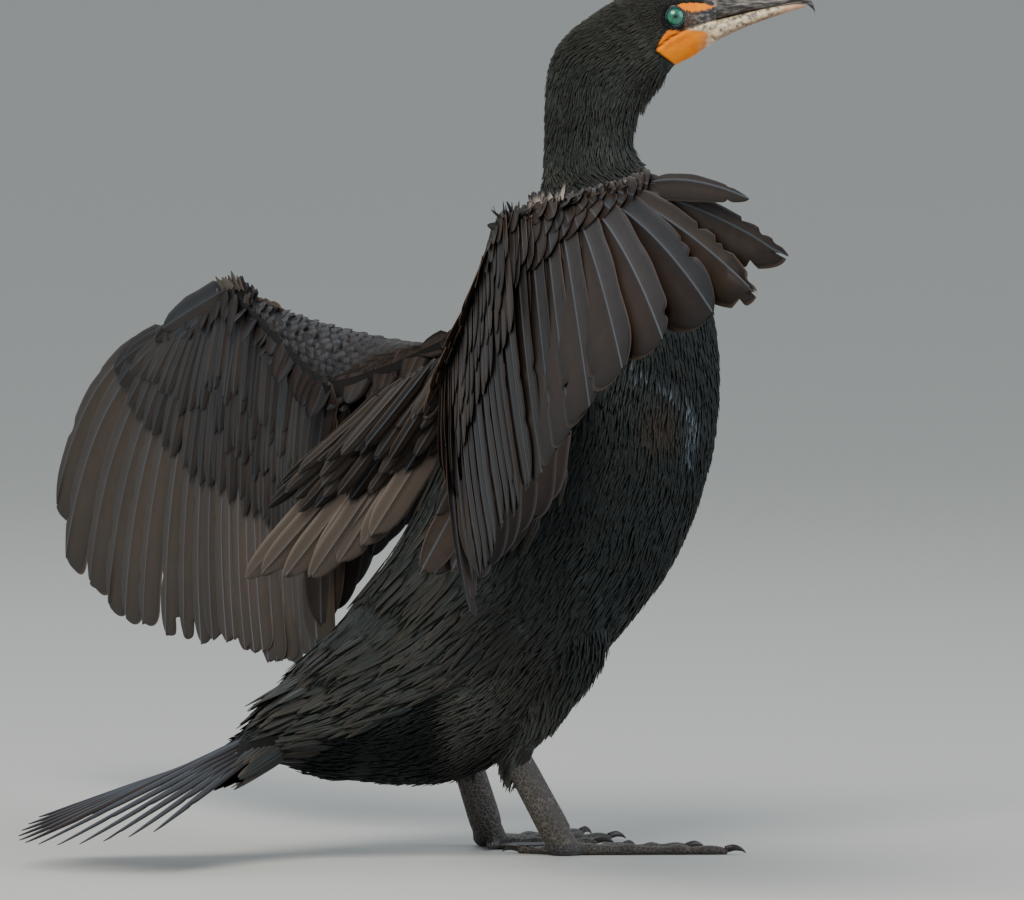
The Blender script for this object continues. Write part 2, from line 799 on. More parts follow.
def body_tube() -> Tube:
    """The whole bird from tail root to bill base."""
    rows = []
    for t in np.linspace(0, len(TRUNK) - 1, 240)[:-1]:
        x, z, up, down, wide = spline(TRUNK, t)
        ahead = trend(TRUNK, t, 0.02)
        tangent = unit((ahead[0], 0, ahead[1]))
        rows.append((x, 0, z, -tangent[2], 0, tangent[0], 0, 1, 0, up, down, wide))
    side = head_way(0, 1)
    for t in np.linspace(0, len(NECK) - 1, 181):
        forward, z, up, down, wide = spline(NECK, t)
        ahead = trend(NECK, t, 0.02) if t < len(NECK) - 1 else (1, 0)
        tangent = head_way(ahead[0], 0, ahead[1])
        rows.append((*head_point(forward, 0, z), *unit(np.cross(tangent, side)), *side, up, down, wide))
    rows = np.array(rows)
    kernel = np.hanning(33)
    kernel /= kernel.sum()
    soft = np.stack([np.convolve(np.pad(c, 16, mode="edge"), kernel, "valid") for c in rows.T], -1)
    # The neck base is softened most, where the head's turn begins; both ends keep their own shape.
    near = np.exp(-(((np.arange(len(rows)) - 239) / 40.0) ** 2))[:, None]
    return Tube(rows * (1 - near) + soft * near)


def leg_rows(points: list) -> Array:
    """Rows of a tube down a leg from (middle, direction, half fore and aft, half sideways)."""
    rows = []
    for middle, axis, fore, lateral in points:
        axis = unit(axis)
        sideways = unit(np.cross(axis, (1, 0, 0)))
        rows.append((*middle, *unit(np.cross(sideways, axis)), *sideways, fore, fore, lateral))
    return np.array(rows)


def thigh_tube(side: Side) -> Tube:
    """A feathered thigh, listed from its lower end upwards so that the coat lies downwards."""
    turn = np.array((1, side.value, 1))
    points = []
    for t in np.linspace(len(THIGH) - 1, 0, 60):
        row = spline(THIGH, t)
        ahead = trend(THIGH, t, 0.05)
        points.append((row[:3] * turn, -ahead[:3] * turn, row[3], row[4]))
    return Tube(leg_rows(points))


@dataclass
class BodyHide:
    """The one skin of trunk, neck, head, thighs and wing arms, under the coat."""

    body: Tube
    sides: int = 144

    def depth(self, t: float) -> float:
        """How far the skin lies inside the outline: by the coat's depth, less on the face."""
        return -float(np.interp(t, *zip(*COAT_DEPTH)))

    def build(self, finish: Material, cores: list) -> Object:
        """Lofts the body, joins thighs and arms, then presses in mouth and eye sockets."""
        places = np.concatenate((np.linspace(0, 0.74, 120), np.linspace(0.74, 1.0, 150)[1:]))
        skin = loft("body_skin", self.body.rings(places, self.sides, self.depth))
        thighs = [thigh_tube(side).loft("thigh", 24, 36, -1.6) for side in Side]
        fuse(skin, thighs + cores)
        self.sculpt(skin.data)
        skin.data.materials.clear()
        skin.data.materials.append(finish)
        limbs = [f"{limb}_{side.label}" for limb in ("thigh", "wing_arm") for side in Side]
        return dress(skin, ("torso", "neck", "head", *limbs))

    def sculpt(self, mesh: Mesh) -> None:
        """Presses the mouth line and eye sockets into the skin and marks its bare parts."""
        p = drawing_points(mesh)
        forward, side, height = head_view(p)
        on_face = (forward > 50) & (height > 400)
        gap = np.where(on_face, mouth_distance(forward, height), 99.0)
        ring = np.hypot(forward - EYE[0], height - EYE[1])
        away = np.where(on_face, 1.0, 0.0)
        press = -0.9 * np.exp(-((gap / 0.8) ** 2)) * away
        under_mouth = height < np.interp(forward, *zip(*MOUTH))
        press += 0.55 * np.exp(-(((gap - 2.2) / 1.2) ** 2)) * away * under_mouth
        press += away * (0.5 * np.exp(-(((ring - 6.6) / 1.3) ** 2)) - 1.2 * np.exp(-((ring / 4.2) ** 2)))
        outward = head_way(0, 1) * np.sign(side)[:, None]
        normals = np.zeros(len(p) * 3, np.float32)
        mesh.vertices.foreach_get("normal", normals)
        bare = face_marks(forward, height)["bare"] * away * np.clip((90.5 - forward) / 9, 0, 1)
        normals = normals.reshape(-1, 3)
        ahead = head_way(1, 0)
        sideways = normals - ahead * (normals @ ahead)[:, None]
        # Its front end sinks in a little, so that the horn of the bill grows out of it without a step.
        sink = 0.2 * away * np.clip((forward - 89) / 4, 0, 1)
        p = p + outward * press[:, None] + normals * (0.75 * bare)[:, None] - sideways * sink[:, None]
        move(mesh, p)
        for name, values in face_marks(forward, height).items():
            mark(mesh, name, values * away)
        mark(mesh, "line", np.exp(-((gap / 0.45) ** 2)) * away * (forward > 60))


def mouth_distance(forward: Array, height: Array) -> Array:
    """Distance from the mouth line in the head's plane, in mm."""
    best = np.full(np.shape(forward), 99.0)
    for (x0, z0), (x1, z1) in zip(MOUTH, MOUTH[1:]):
        dx, dz = x1 - x0, z1 - z0
        share = np.clip(((forward - x0) * dx + (height - z0) * dz) / (dx * dx + dz * dz), 0, 1)
        best = np.minimum(best, np.hypot(forward - x0 - share * dx, height - z0 - share * dz))
    return best


def soft_step(value: Array, width: float) -> Array:
    """0 below zero and 1 above it, blended over a width."""
    return np.clip(np.asarray(value) / width + 0.5, 0, 1)


def face_marks(forward: Array, height: Array) -> dict:
    """The bare parts of the face at places of the head's plane.

    Args:
        forward: distance along the bill, in mm.
        height: height above the floor, in mm.

    Returns:
        Shares from 0 to 1: orange skin, pale and dark horn of the bill base, and bare skin of any kind.
    """
    mouth = np.interp(forward, *zip(*MOUTH))
    # The pouch: its hind edge runs from the gape down to the throat, and a horny wedge tapers back over it.
    hind = (forward - 61.2) * 0.62 - np.maximum(0.0, 421.0 - height) * 0.78
    below = soft_step(mouth - height, 0.6)
    wavy = 0.5 * np.sin(forward * 1.3) + 0.5 * np.sin(height * 1.1 + forward)
    wedge = soft_step(height - (mouth - np.maximum(0.0, forward - 75.0) * 0.42), 1.2)
    wedge = np.maximum(wedge, soft_step(forward - 87.5 + wavy - (height - 430) * 0.25, 9.0)) * below
    pouch = soft_step(hind, 0.8) * below * (1 - wedge)
    over = soft_step(height - mouth, 0.6)
    corner = soft_step(forward - 60.6, 0.8) * over
    corner = corner * soft_step(np.interp(forward, *zip(*CORNER_TOP)) - height, 0.7)
    frayed = 0.28 * np.sin(forward * 1.7 + height) + 0.2 * np.sin(forward * 4.1)
    places, tops, lows = zip(*STRIPE)
    stripe = soft_step(np.interp(forward, places, tops) + frayed * 0.6 - height, 0.5)
    stripe = stripe * soft_step(height - (np.interp(forward, places, lows) + frayed), 0.5)
    stripe = stripe * soft_step(forward - 71.5, 1.0)
    orange = np.clip(pouch + corner + stripe, 0, 1)
    lores = soft_step(forward - 75.3 - np.abs(height - 437) * 0.1, 1.0) * soft_step(445.2 - height, 0.6)
    lores = lores * over
    lores = np.maximum(lores, soft_step(forward - 86.5 - np.maximum(0, height - 445) * 0.3, 1.0))
    dark = soft_step(forward - 81.0 - 1.5 * np.sin(height * 1.3), 8.0) * over * (1 - stripe)
    return {"orange": orange, "horn": wedge * soft_step(forward - 74, 2.0), "dark_horn": dark,
            "bare": np.clip(orange + lores + wedge * (forward > 74), 0, 1)}


# ---- coat


@dataclass
class Tufts:
    """Many thin closed blades that share one mesh, built from arrays."""

    root: Array
    lie: Array
    normal: Array
    length: Array
    width: Array
    rise: Array
    place: Array
    marks: dict
    curl: float = 0.10
    stations: tuple = (0.0, 0.28, 0.6, 0.85, 1.0)
    widths: tuple = (0.45, 0.95, 1.0, 0.62, 0.06)

    def build(self, name: str, finish: Material) -> Object:
        """Builds the mesh.

        Args:
            name: the object's name.
            finish: its material.

        Returns:
            The object, with the tufts' marks and bake map.
        """
        count, steps = len(self.root), len(self.stations)
        across, up = unit(np.cross(self.normal, self.lie))[:, None], self.normal[:, None]
        length, width = self.length[:, None, None], self.width[:, None, None]
        s = np.array(self.stations)[None, :, None]
        half = width * 0.5 * np.array(self.widths)[None, :, None]
        lift = self.rise[:, None, None] * s - self.curl * length * s**2 * 0.5
        middle = self.root[:, None] + self.lie[:, None] * length * s + up * lift
        thin = 0.14 + 0.16 * width * (1 - 0.8 * s)
        edge = -0.15 * half
        verts = np.stack((middle - across * half + up * edge, middle + up * thin,
                          middle + across * half + up * edge), axis=2)
        first = np.arange(count) * steps * 3
        row = first[:, None, None] + np.arange(steps - 1)[None, :, None] * 3
        a, b = row + np.arange(3), row + (np.arange(3) + 1) % 3
        sides = np.stack((a, a + 3, b + 3, b), axis=-1).reshape(-1, 4)
        last = first + (steps - 1) * 3
        ends = np.concatenate((np.stack((first, first + 1, first + 2), -1),
                               np.stack((last + 2, last + 1, last), -1)))
        mesh = array_mesh(name, metres(verts.reshape(-1, 3)), sides, ends)
        shape = (count, steps, 3)
        along, side = np.broadcast_to(s, shape), np.broadcast_to(np.array((-1.0, 0.0, 1.0)), shape)
        mark(mesh, "along", along)
        mark(mesh, "across", side)
        for key, value in self.marks.items():
            mark(mesh, key, np.broadcast_to(np.asarray(value)[:, None, None], shape))
        spread = np.stack((side * 0.5, along - 0.5), -1) * BAKE_SPOT
        bake_map(mesh, (self.place[:, None, None] + spread).reshape(-1, 2))
        return new_object(name, mesh, finish)


def array_mesh(name: str, verts: Array, quads: Array, ends: Array | None = None) -> Mesh:
    """A mesh of many small blades from arrays.

    Args:
        name: the mesh's name.
        verts: places in metres.
        quads: corners of the four-sided faces.
        ends: corners of the three-sided faces, if there are any.

    Returns:
        The mesh.
    """
    ends = np.zeros((0, 3), int) if ends is None else ends
    mesh = bpy.data.meshes.new(name)
    mesh.vertices.add(len(verts))
    mesh.vertices.foreach_set("co", np.asarray(verts, np.float32).ravel())
    corners = np.concatenate((quads.ravel(), ends.ravel())).astype(np.int32)
    mesh.loops.add(len(corners))
    mesh.loops.foreach_set("vertex_index", corners)
    mesh.polygons.add(len(quads) + len(ends))
    starts = np.concatenate((np.arange(len(quads)) * 4, len(quads) * 4 + np.arange(len(ends)) * 3))
    mesh.polygons.foreach_set("loop_start", starts.astype(np.int32))
    mesh.update(calc_edges=True)
    smooth(mesh)
    return mesh


def body_place(t: Array, turn: Array) -> Array:
    """The spot on the bake map of feathers at places and turns of a tube."""
    return np.stack((0.02 + 0.96 * t, (turn / (2 * pi)) % 1.0 * 0.96 + 0.02), -1)


def bake_map(mesh: Mesh, spots: Array) -> None:
    """Gives the mesh its OFBake map from one spot for each vertex."""
    corners = np.zeros(len(mesh.loops), np.int32)
    mesh.loops.foreach_get("vertex_index", corners)
    layer = mesh.uv_layers.new(name="OFBake")
    layer.data.foreach_set("uv", spots[corners].astype(np.float32).ravel())


@dataclass
class Zone:
    """A part of the coat with tufts of one size."""

    name: str
    first: float
    last: float
    along: float
    across: float
    length: tuple
    width: float
    rise: tuple


@dataclass
class BodyCoat:
    """The short contour feathers of trunk, neck, head and thighs."""

    body: Tube
    rng: Generator
    zones: tuple = (
        Zone("rump", 0.0, 0.18, 3.6, 1.9, (15, 20), 2.3, (1.2, 2.3)),
        Zone("belly", 0.178, 0.27, 3.6, 1.9, (13, 18), 2.3, (1.5, 2.6)),
        Zone("flanks", 0.268, 0.35, 3.5, 1.85, (12, 17), 2.2, (1.5, 2.6)),
        Zone("sides", 0.348, 0.43, 3.5, 1.85, (12, 16), 2.2, (1.5, 2.6)),
        Zone("breast", 0.428, 0.56, 3.1, 1.7, (11, 15), 2.0, (1.3, 2.4)),
        Zone("neck_low", 0.555, 0.72, 2.4, 1.3, (7, 10), 1.5, (0.6, 1.9)),
        Zone("neck_high", 0.715, 0.83, 1.8, 0.95, (5, 7.5), 1.05, (0.5, 1.5)),
        Zone("head_coat", 0.825, 1.0, 1.25, 0.72, (2.8, 4.4), 0.8, (0.3, 0.8)),
    )

    def build(self, hide: BodyHide, finish: Material) -> None:
        """Makes one piece for each zone."""
        for zone in self.zones:
            t, turn = self.body.scatter(zone.first, zone.last, zone.along, zone.across, self.rng)
            depth = np.array([hide.depth(v) for v in t])
            self.piece(self.body, t, turn, depth, zone, finish)
        for side in Side:
            zone = Zone(f"thigh_{side.label}", 0.02, 0.9, 3.2, 1.9, (13, 18), 2.2, (0.8, 2.6))
            tube = thigh_tube(side)
            t, turn = tube.scatter(zone.first, zone.last, zone.along, zone.across, self.rng)
            self.piece(tube, t, turn, np.full(len(t), -1.8), zone, finish)

    def piece(self, tube: Tube, t: Array, turn: Array, depth: Array, zone: Zone, finish: Material) -> None:
        """Builds the tufts of one zone, leaving the bare face free."""
        root = tube.point(t, turn, depth)
        normal, lie = tube.frame(t, turn)
        rng = self.rng
        keep = np.ones(len(t), bool)
        forward, _, height = head_view(root)
        if zone.name.startswith("head"):
            bare = face_marks(forward, height)["bare"]
            ring = np.hypot(forward - EYE[0], height - EYE[1])
            keep &= (bare < 0.3) & (ring > 5.5)
        t, turn, root, normal, lie = t[keep], turn[keep], root[keep], normal[keep], lie[keep]
        forward, height = forward[keep], height[keep]
        count = len(t)
        length = rng.uniform(*zone.length, count)
        rise = rng.uniform(*zone.rise, count)
        drift = np.sin(root[:, 2] * 0.11 + root[:, 0] * 0.07) * 0.12 + rng.normal(0, 0.10, count)
        across = np.cross(normal, lie)
        lie = unit(lie + across * drift[:, None])
        throat = np.zeros(count)
        if zone.name.startswith("neck"):
            # Feathers on the front of the neck stand up in small wet spikes.
            throat = np.clip(-np.cos(turn) - 0.35, 0, 1) * rng.uniform(0.2, 1.0, count)
            rise = rise + throat * 5.0
            length = length * (1 + 0.25 * throat)
        if zone.name.startswith("thigh"):
            low = np.clip((0.35 - t) / 0.35, 0, 1)
            length = length * (1 + 0.25 * low)
        if zone.name == "head_coat":
            near = np.clip((np.hypot(forward - EYE[0], height - EYE[1]) - 6.0) / 6.0, 0.35, 1)
            front = np.clip((96 - forward) / 16, 0.45, 1)
            length = length * near * front
            rise = rise * near
        marks = coat_marks(root, normal, rng)
        marks["worn"] = marks["worn"] + throat * 0.4
        if zone.name.startswith("thigh"):
            lower = np.clip((98 - root[:, 2]) / 24, 0, 1)
            marks["grey"] = np.clip(marks["grey"] + rng.uniform(0.5, 0.8, count) * lower, 0, 0.9)
            marks["brown"] = np.clip(marks["brown"] + 0.25 * lower, 0, 0.9)
            marks["dark"] = np.zeros(count)
        width = zone.width * rng.uniform(0.8, 1.2, count)
        tufts = Tufts(root, lie, normal, length, width, rise, body_place(t, turn), marks)
        dress(tufts.build(f"coat_{zone.name}", finish))


def vent_line(p: Array) -> Array:
    """Height of the line under the flanks, below which the feathers are plain black."""
    return 59.0 + (p[..., 0] * 0.866 + np.abs(p[..., 1]) * 0.5 + 111.6) * 0.53


def coat_marks(p: Array, normal: Array, rng: Generator) -> dict:
    """The tints of the coat at drawing points.

    Args:
        p: the tufts' roots.
        normal: the skin's outward directions there.
        rng: the random source.

    Returns:
        Gloss, brown, grey, worn tips and downy roots, each from 0 to 1.
    """
    count = len(p)
    height = p[:, 2]
    wave = np.sin(p[:, 0] * 0.13 + np.sin(height * 0.09) * 2) * np.sin(p[:, 1] * 0.11 + height * 0.05)
    wave = 0.5 + 0.5 * wave
    both = p * np.array((1, 0, 1)) + np.abs(p) * np.array((0, 1, 0))
    knee = bump_at(both, (-62, 50, 74), (22, 30, 34))
    brown = 0.5 * bump_at(both, (-38, 54, 96), (26, 30, 42)) + 0.4 * knee
    brown += 0.9 * bump_at(both, (38, 60, 232), (13, 20, 12))
    brown += 0.4 * bump_at(p, head_point(62, 0, 432), (26, 26, 24)) + 0.25 * (height > 418)
    grey = 0.45 * bump_at(both, (-110, 40, 105), (52, 40, 40))
    grey += 0.3 * bump_at(both, (-40, 50, 150), (50, 30, 40))
    grey += 0.7 * knee
    grey += 0.4 * (height > 350) + 0.35 * bump_at(both, (-22, 42, 70), (34, 30, 30))
    under = np.clip(-normal[:, 2] - 0.1, 0, 1) * np.clip((-10 - p[:, 0]) / 30, 0, 1)
    worn = 0.2 + 0.6 * bump_at(both, (-30, 40, 62), (34, 30, 30)) + 0.25 * (height > 350)
    # The hollow under the wing: a curved row of frosted tips between breast and side.
    ahead = p[:, 0] * 0.866 - p[:, 1] * 0.5
    curve = np.interp(height, (214, 236, 246, 254, 264), (78, 82, 76, 66, 48))
    frost = np.exp(-(((ahead - curve) / 3.2) ** 2)) * (p[:, 1] < 0) * (height > 212) * (height < 266)
    return {
        "tone": np.clip(0.45 + 0.35 * wave + rng.normal(0, 0.08, count) - 0.9 * under, 0, 1),
        "brown": np.clip(brown * rng.uniform(0.6, 1.1, count), 0, 0.9),
        "grey": np.clip(grey * rng.uniform(0.5, 1.2, count) * (1 - under), 0, 0.8),
        "worn": np.clip(worn * rng.uniform(0, 1.2, count) * (1 - under), 0, 1),
        "frost": np.clip(frost * rng.uniform(0.05, 0.6, count), 0, 0.9),
        "dark": soft_step(vent_line(p) - height, 5.0) * soft_step(-40 - both @ (0.866, 0.5, 0), 10),
        "down": np.zeros(count),
    }


# ---- feathers


@dataclass
class Feather:
    """One feather: a thin closed web on a raised shaft."""

    root: Array
    way: Array
    across: Array
    normal: Array
    length: float
    width: float
    outer: float = 0.5
    host: float = 0.0
    bulge: float = 0.10
    bow: float = 0.0
    lift: float = 0.0
    sunk: float = 4.0
    point: float = 0.08
    tip_from: float = 0.8
    louvre: float = radians(6)
    droop: float = 0.06
    stem: float = 1.0
    thick: float = 0.34
    notches: tuple = ()
    ragged: float = 0.0
    place: tuple = (0.5, 0.5)
    marks: tuple = (0.0, 0.6, 0.4, 0.6)
    down: float = 0.0
    grey: float = 0.0


@dataclass
class FeatherBed:
    """Feathers gathered in one mesh."""

    stations: int
    columns: tuple
    rng: Generator
    strips: bool = False
    verts: list = field(default_factory=list)
    quads: list = field(default_factory=list)
    marks: dict = field(default_factory=dict)
    spots: list = field(default_factory=list)
    count: int = 0

    def add(self, f: Feather) -> None:
        """Shapes one feather's web, upper and lower face, and adds it."""
        columns = np.array(self.columns)
        steps, wide = self.stations, len(columns)
        share = np.sin(np.linspace(0, pi / 2, steps))
        host = f.host or f.length
        along = f.length * share / host
        arch = along * (1 - along)
        tilt = unit(f.across * cos(f.louvre) + f.normal * sin(f.louvre))
        up = unit(np.cross(f.way, tilt))
        up = up if up @ f.normal > 0 else -up
        fade = 0.22 + 0.78 * np.clip(share / 0.22, 0, 1) ** 0.8
        end = np.clip((share - f.tip_from) / (1 - f.tip_from), 0, 1)
        tip = np.sqrt(np.clip(1 - (end * 0.995) ** 2.2, 0, 1)) * (1 - f.point * end)
        wave = 1 + 0.035 * np.sin(share * 19 + self.rng.uniform(0, 6)) * (share > 0.3)
        sizes = {1: f.width * f.outer * fade * tip * wave, -1: f.width * (1 - f.outer) * fade * tip}
        x = np.where(columns[None] > 0, columns[None] * sizes[1][:, None], columns[None] * sizes[-1][:, None])
        narrow = f.stem * (0.62 - 0.42 * share)[:, None]
        near = np.abs(columns[None]) < 0.1
        x = np.where(near, np.sign(columns)[None] * np.minimum(narrow, np.abs(x) + 0.15), x)
        push = np.zeros((steps, wide))
        for at, deep, edge in f.notches:
            hit = np.clip(1 - np.abs(share - at) / 0.03, 0, 1)[:, None]
            hit = hit * np.clip(columns[None] * edge, 0, 1) ** 3
            x = x * (1 - deep * hit)
            push -= hit * 3.0
        if f.ragged:
            torn = self.rng.uniform(-1, 0.25, wide)[None] * f.ragged
            push += torn * np.clip((share - 0.8) / 0.2, 0, 1)[:, None] * f.length
        height = -f.droop * columns[None] ** 2 * f.width * np.where(columns[None] > 0, f.outer, 1 - f.outer)
        height = height * fade[:, None] * tip[:, None]
        ridge = (columns == 0)[None] * f.stem * (0.6 * (1 - share) + 0.1)[:, None]
        middle = f.root + f.way * (f.length * share - f.sunk)[:, None]
        middle = middle + f.normal * (f.lift + f.bulge * host * arch)[:, None]
        middle = middle + f.across * (4 * f.bow * arch)[:, None]
        base = middle[:, None] + tilt * x[..., None] + f.way * push[..., None]
        thin = f.thick * (1 - 0.6 * np.abs(columns))[None, :, None] * np.ones((steps, 1, 1)) * 0.5
        top = base + up * (height + ridge)[..., None] + up * thin
        low = base + up * (height - ridge * 0.6)[..., None] - up * thin
        self.store(f, top, low, share, columns, np.abs(x))

    def store(self, f: Feather, top: Array, low: Array, share: Array, columns: Array,
              off: Array) -> None:
        """Adds both faces of a web, stitched round their border."""
        steps, wide = off.shape
        start = self.count * steps * wide * 2
        grid = start + np.arange(steps * wide).reshape(steps, wide)
        under = grid + steps * wide
        faces = [np.stack(corners, -1).reshape(-1, 4) for corners in (
            (grid[:-1, :-1], grid[:-1, 1:], grid[1:, 1:], grid[1:, :-1]),
            (under[:-1, :-1], under[1:, :-1], under[1:, 1:], under[:-1, 1:]))]
        for a, b in ((grid[0], under[0]), (grid[-1][::-1], under[-1][::-1]), (grid[:, -1], under[:, -1]),
                     (grid[::-1, 0], under[::-1, 0])):
            faces.append(np.stack((a[:-1], b[:-1], b[1:], a[1:]), -1))
        handed = np.cross(f.way, f.across) @ f.normal
        quads = np.concatenate(faces)
        self.quads.append(quads if handed < 0 else quads[:, ::-1])
        self.verts.append(np.concatenate((top.reshape(-1, 3), low.reshape(-1, 3))))
        shape = (2, steps, wide)
        along, across = np.broadcast_to(share[None, :, None], shape), np.broadcast_to(columns, shape)
        brown, margin, rim, tone = f.marks
        marks = {"along": along, "across": across, "off": off[None], "reach": along * f.length,
                 "brown": brown, "margin": margin, "rim": rim, "tone": tone, "stem": min(1.0, f.stem),
                 "down": f.down, "grey": f.grey, "worn": rim}
        for key, value in marks.items():
            self.marks.setdefault(key, []).append(np.broadcast_to(value, shape).ravel())
        self.spots.append(np.stack((across * 0.5, along - 0.5), -1).reshape(-1, 2))
        if not self.strips:
            self.spots[-1] = np.array(f.place) + self.spots[-1] * BAKE_SPOT
        self.count += 1

    def build(self, name: str, finish: Material) -> Object:
        """The bed as one object."""
        mesh = array_mesh(name, metres(np.concatenate(self.verts)), np.concatenate(self.quads))
        for key, values in self.marks.items():
            mark(mesh, key, np.concatenate(values))
        spots = self.spots
        if self.strips:
            # Each long feather has a strip of the map to itself, its lower face beside its upper one.
            half = len(spots[0]) // 2
            side = np.repeat((0.25, 0.75), half)
            spots = [np.stack(((i + side + s[:, 0] * 0.42) / self.count, 0.5 + s[:, 1] * 0.96), -1)
                     for i, s in enumerate(spots)]
        bake_map(mesh, np.concatenate(spots))
        return new_object(name, mesh, finish)


LONG_COLUMNS = (-1.0, -0.8, -0.55, -0.3, -0.05, 0.0, 0.05, 0.35, 0.7, 1.0)
SHORT_COLUMNS = (-1.0, -0.5, -0.05, 0.0, 0.05, 0.5, 1.0)
# The arm's flesh, in mm: how far it reaches ahead of the bones, behind them, and how thick its front edge is.
ARM_PLACES = (0, 1.0, 2.0, 2.6, 3.0)
ARM_SIZES = ((12, 8, 9, 6, 3), (22, 20, 15, 11, 6), (7, 3.4, 4, 3, 1.6))
# How thick it is over the bones.
ARM_THICK = ((0, 14), (0.6, 12), (1.0, 10), (1.5, 8.4), (2.0, 8), (2.5, 6.4), (3.0, 3.6))


@dataclass
class WingPlan:
    """Joints and feather directions of one wing, drawn as a right wing."""

    side: Side
    joints: tuple
    keys: tuple
    tertials: tuple
    bows: tuple
    sag: float
    front: tuple
    hand_widths: tuple
    hand_coverts: tuple

    def __post_init__(self) -> None:
        """Brings the tables to unit directions."""
        self.joints = [np.array(j, float) for j in self.joints]
        self.keys = [(s, *unit(way), long) for s, way, long in self.keys]

    def arm(self, s: float) -> Array:
        """A point on the arm bones' line; s is 1 at the elbow, 2 at the wrist and 3 at the hand's tip."""
        i = int(min(max(floor(s), 0), 2))
        return self.joints[i] + (self.joints[i + 1] - self.joints[i]) * (s - i)

    def feather(self, s: float) -> tuple[Array, float]:
        """Direction and length of the long feather that grows at s."""
        row = between(self.keys, min(max(s, self.keys[0][0]), self.keys[-1][0]))
        return unit(row[:3]), row[3]

    def axes(self, s: float) -> tuple[Array, Array, Array, float]:
        """Feather direction, outward direction, upper normal and feather length at s."""
        way, long = self.feather(s)
        near, far = max(s - 0.22, 0.0), min(s + 0.22, 3.0)
        outward = (self.arm(far) + self.feather(far)[0] * 50) - (self.arm(near) + self.feather(near)[0] * 50)
        outward = unit(outward - way * (outward @ way))
        return way, outward, unit(np.cross(way, outward)), long

    def leading_edge(self, s: float) -> Array:
        """The front edge of the wing at s."""
        shoulder, elbow, wrist, _ = self.joints
        start = shoulder + np.array(self.front)
        bend = elbow + (0.5 * (start + wrist) - elbow) * self.sag
        f = min(s / 2, 1.0)
        edge = start * (1 - f) ** 2 + 2 * bend * f * (1 - f) + wrist * f * f
        return edge if s <= 2 else self.arm(s)

    def stops(self, s: float) -> list:
        """Points of an arm section from front edge to rear, each with its normal and half thickness."""
        way, outward, normal, _ = self.axes(s)
        bone, front = self.arm(s), self.leading_edge(s)
        ahead, behind, edge = (float(np.interp(s, ARM_PLACES, sizes)) for sizes in ARM_SIZES)
        thick = float(np.interp(s, *zip(*ARM_THICK)))
        reach = front - bone
        if np.linalg.norm(reach) < ahead:
            reach = unit(reach - way * ahead) * ahead
        front_normal = unit(np.cross(-unit(reach), outward))
        bend = unit(normal + front_normal)
        return [(bone + reach, front_normal, 0.5 * edge), (bone + reach * 0.75, front_normal, edge),
                (bone + reach * 0.35 + bend * 0.6, bend, 0.5 * (edge + thick)), (bone, bend, thick),
                (bone + way * behind * 0.55, normal, 0.8 * thick),
                (bone + way * behind, normal, 0.28 * thick)]

    def own(self, p: Array) -> Array:
        """A point or direction of the right-wing drawing on this wing's side."""
        return np.asarray(p) * np.array((1, -self.side.value, 1))

    def ring(self, s: float, inside: float) -> Array:
        """A ring of points round the arm at s, set inside its outline."""
        stops = self.stops(s)
        upper = [p + n * max(h - inside, 0.6) for p, n, h in stops]
        lower = [p - n * max(h - inside, 0.6) for p, n, h in stops]
        return np.array([self.own(p) for p in upper + lower[::-1]])

    def cover(self, s: float, back: float) -> tuple[Array, Array, Array, float]:
        """A place on the arm's upper skin.

        Args:
            s: the place along the arm.
            back: the share of the way from the front edge (0) to the bones (1).

        Returns:
            The point, its normal, the backward direction and the half thickness there.
        """
        stops = self.stops(s)
        at = back * 3
        i = int(min(floor(at), 2))
        f = at - i
        (p, n, h), (q, m, k) = stops[i], stops[i + 1]
        return p + (q - p) * f, unit(n + (m - n) * f), unit(q - p), h + (k - h) * f


RIGHT_WING = WingPlan(
    Side.RIGHT,
    ((41, -45, 295), (-99, -79, 251), (-142, -212, 340), (-130, -334, 365)),
    ((0, (-.46, -.50, -.73), 120), (0.5, (-.42, -.56, -.71), 140), (1, (-.33, -.66, -.68), 160),
     (1.5, (-.325, -.69, -.64), 170), (2, (-.30, -.67, -.68), 177), (2.25, (-.35, -.74, -.57), 181),
     (2.5, (-.331, -.859, -.39), 185), (2.75, (-.161, -.961, -.219), 194), (2.9, (-.125, -.985, -.11), 197),
     (3, (-.24, -.972, .02), 150)),
    ((0.28, (-.56, -.18, -.81), 132), (0.48, (-.62, -.28, -.735), 165)),
    ((1, 2), (2, 4), (2.6, 6), (3, 4)), 0.15, (8, 2, 18),
    (29, 30, 31, 34, 37, 38, 37, 30, 25, 14), (0.30, 0.11))
LEFT_WING = WingPlan(
    Side.LEFT,
    ((41, -45, 290), (-80, -80, 239), (-48, -237, 284), (-25, -356, 258)),
    ((0, (-.30, -.30, -.90), 120), (0.5, (-.12, -.34, -.92), 126), (1, (.10, -.30, -.94), 140),
     (1.3, (.10, -.22, -.96), 162), (1.6, (.03, -.08, -1), 174), (2, (-.05, -.02, -1), 182),
     (2.25, (-.04, -.14, -.99), 182), (2.5, (.01, -.41, -.91), 187), (2.75, (.05, -.63, -.775), 194),
     (2.9, (.07, -.79, -.61), 197), (3, (.06, -.83, -.55), 180)),
    ((0.28, (-.44, -.25, -.86), 132), (0.5, (-.57, -.33, -.755), 165)),
    ((1, 2), (2, 6), (2.6, 15), (3, 24)), 0.6, (6, 1, -34),
    (24, 24, 25, 27, 30, 33, 36, 37, 37, 30), (0.57, 0.38))


@dataclass(frozen=True)
class Tier:
    """A row of wing feathers: how many, from where to where, how long and how wide."""

    count: int
    near: float
    far: float
    first: float
    last: float
    width: float
    lift: float
    outer: tuple = (0.42, 0.38)
    loose: float = 0.012


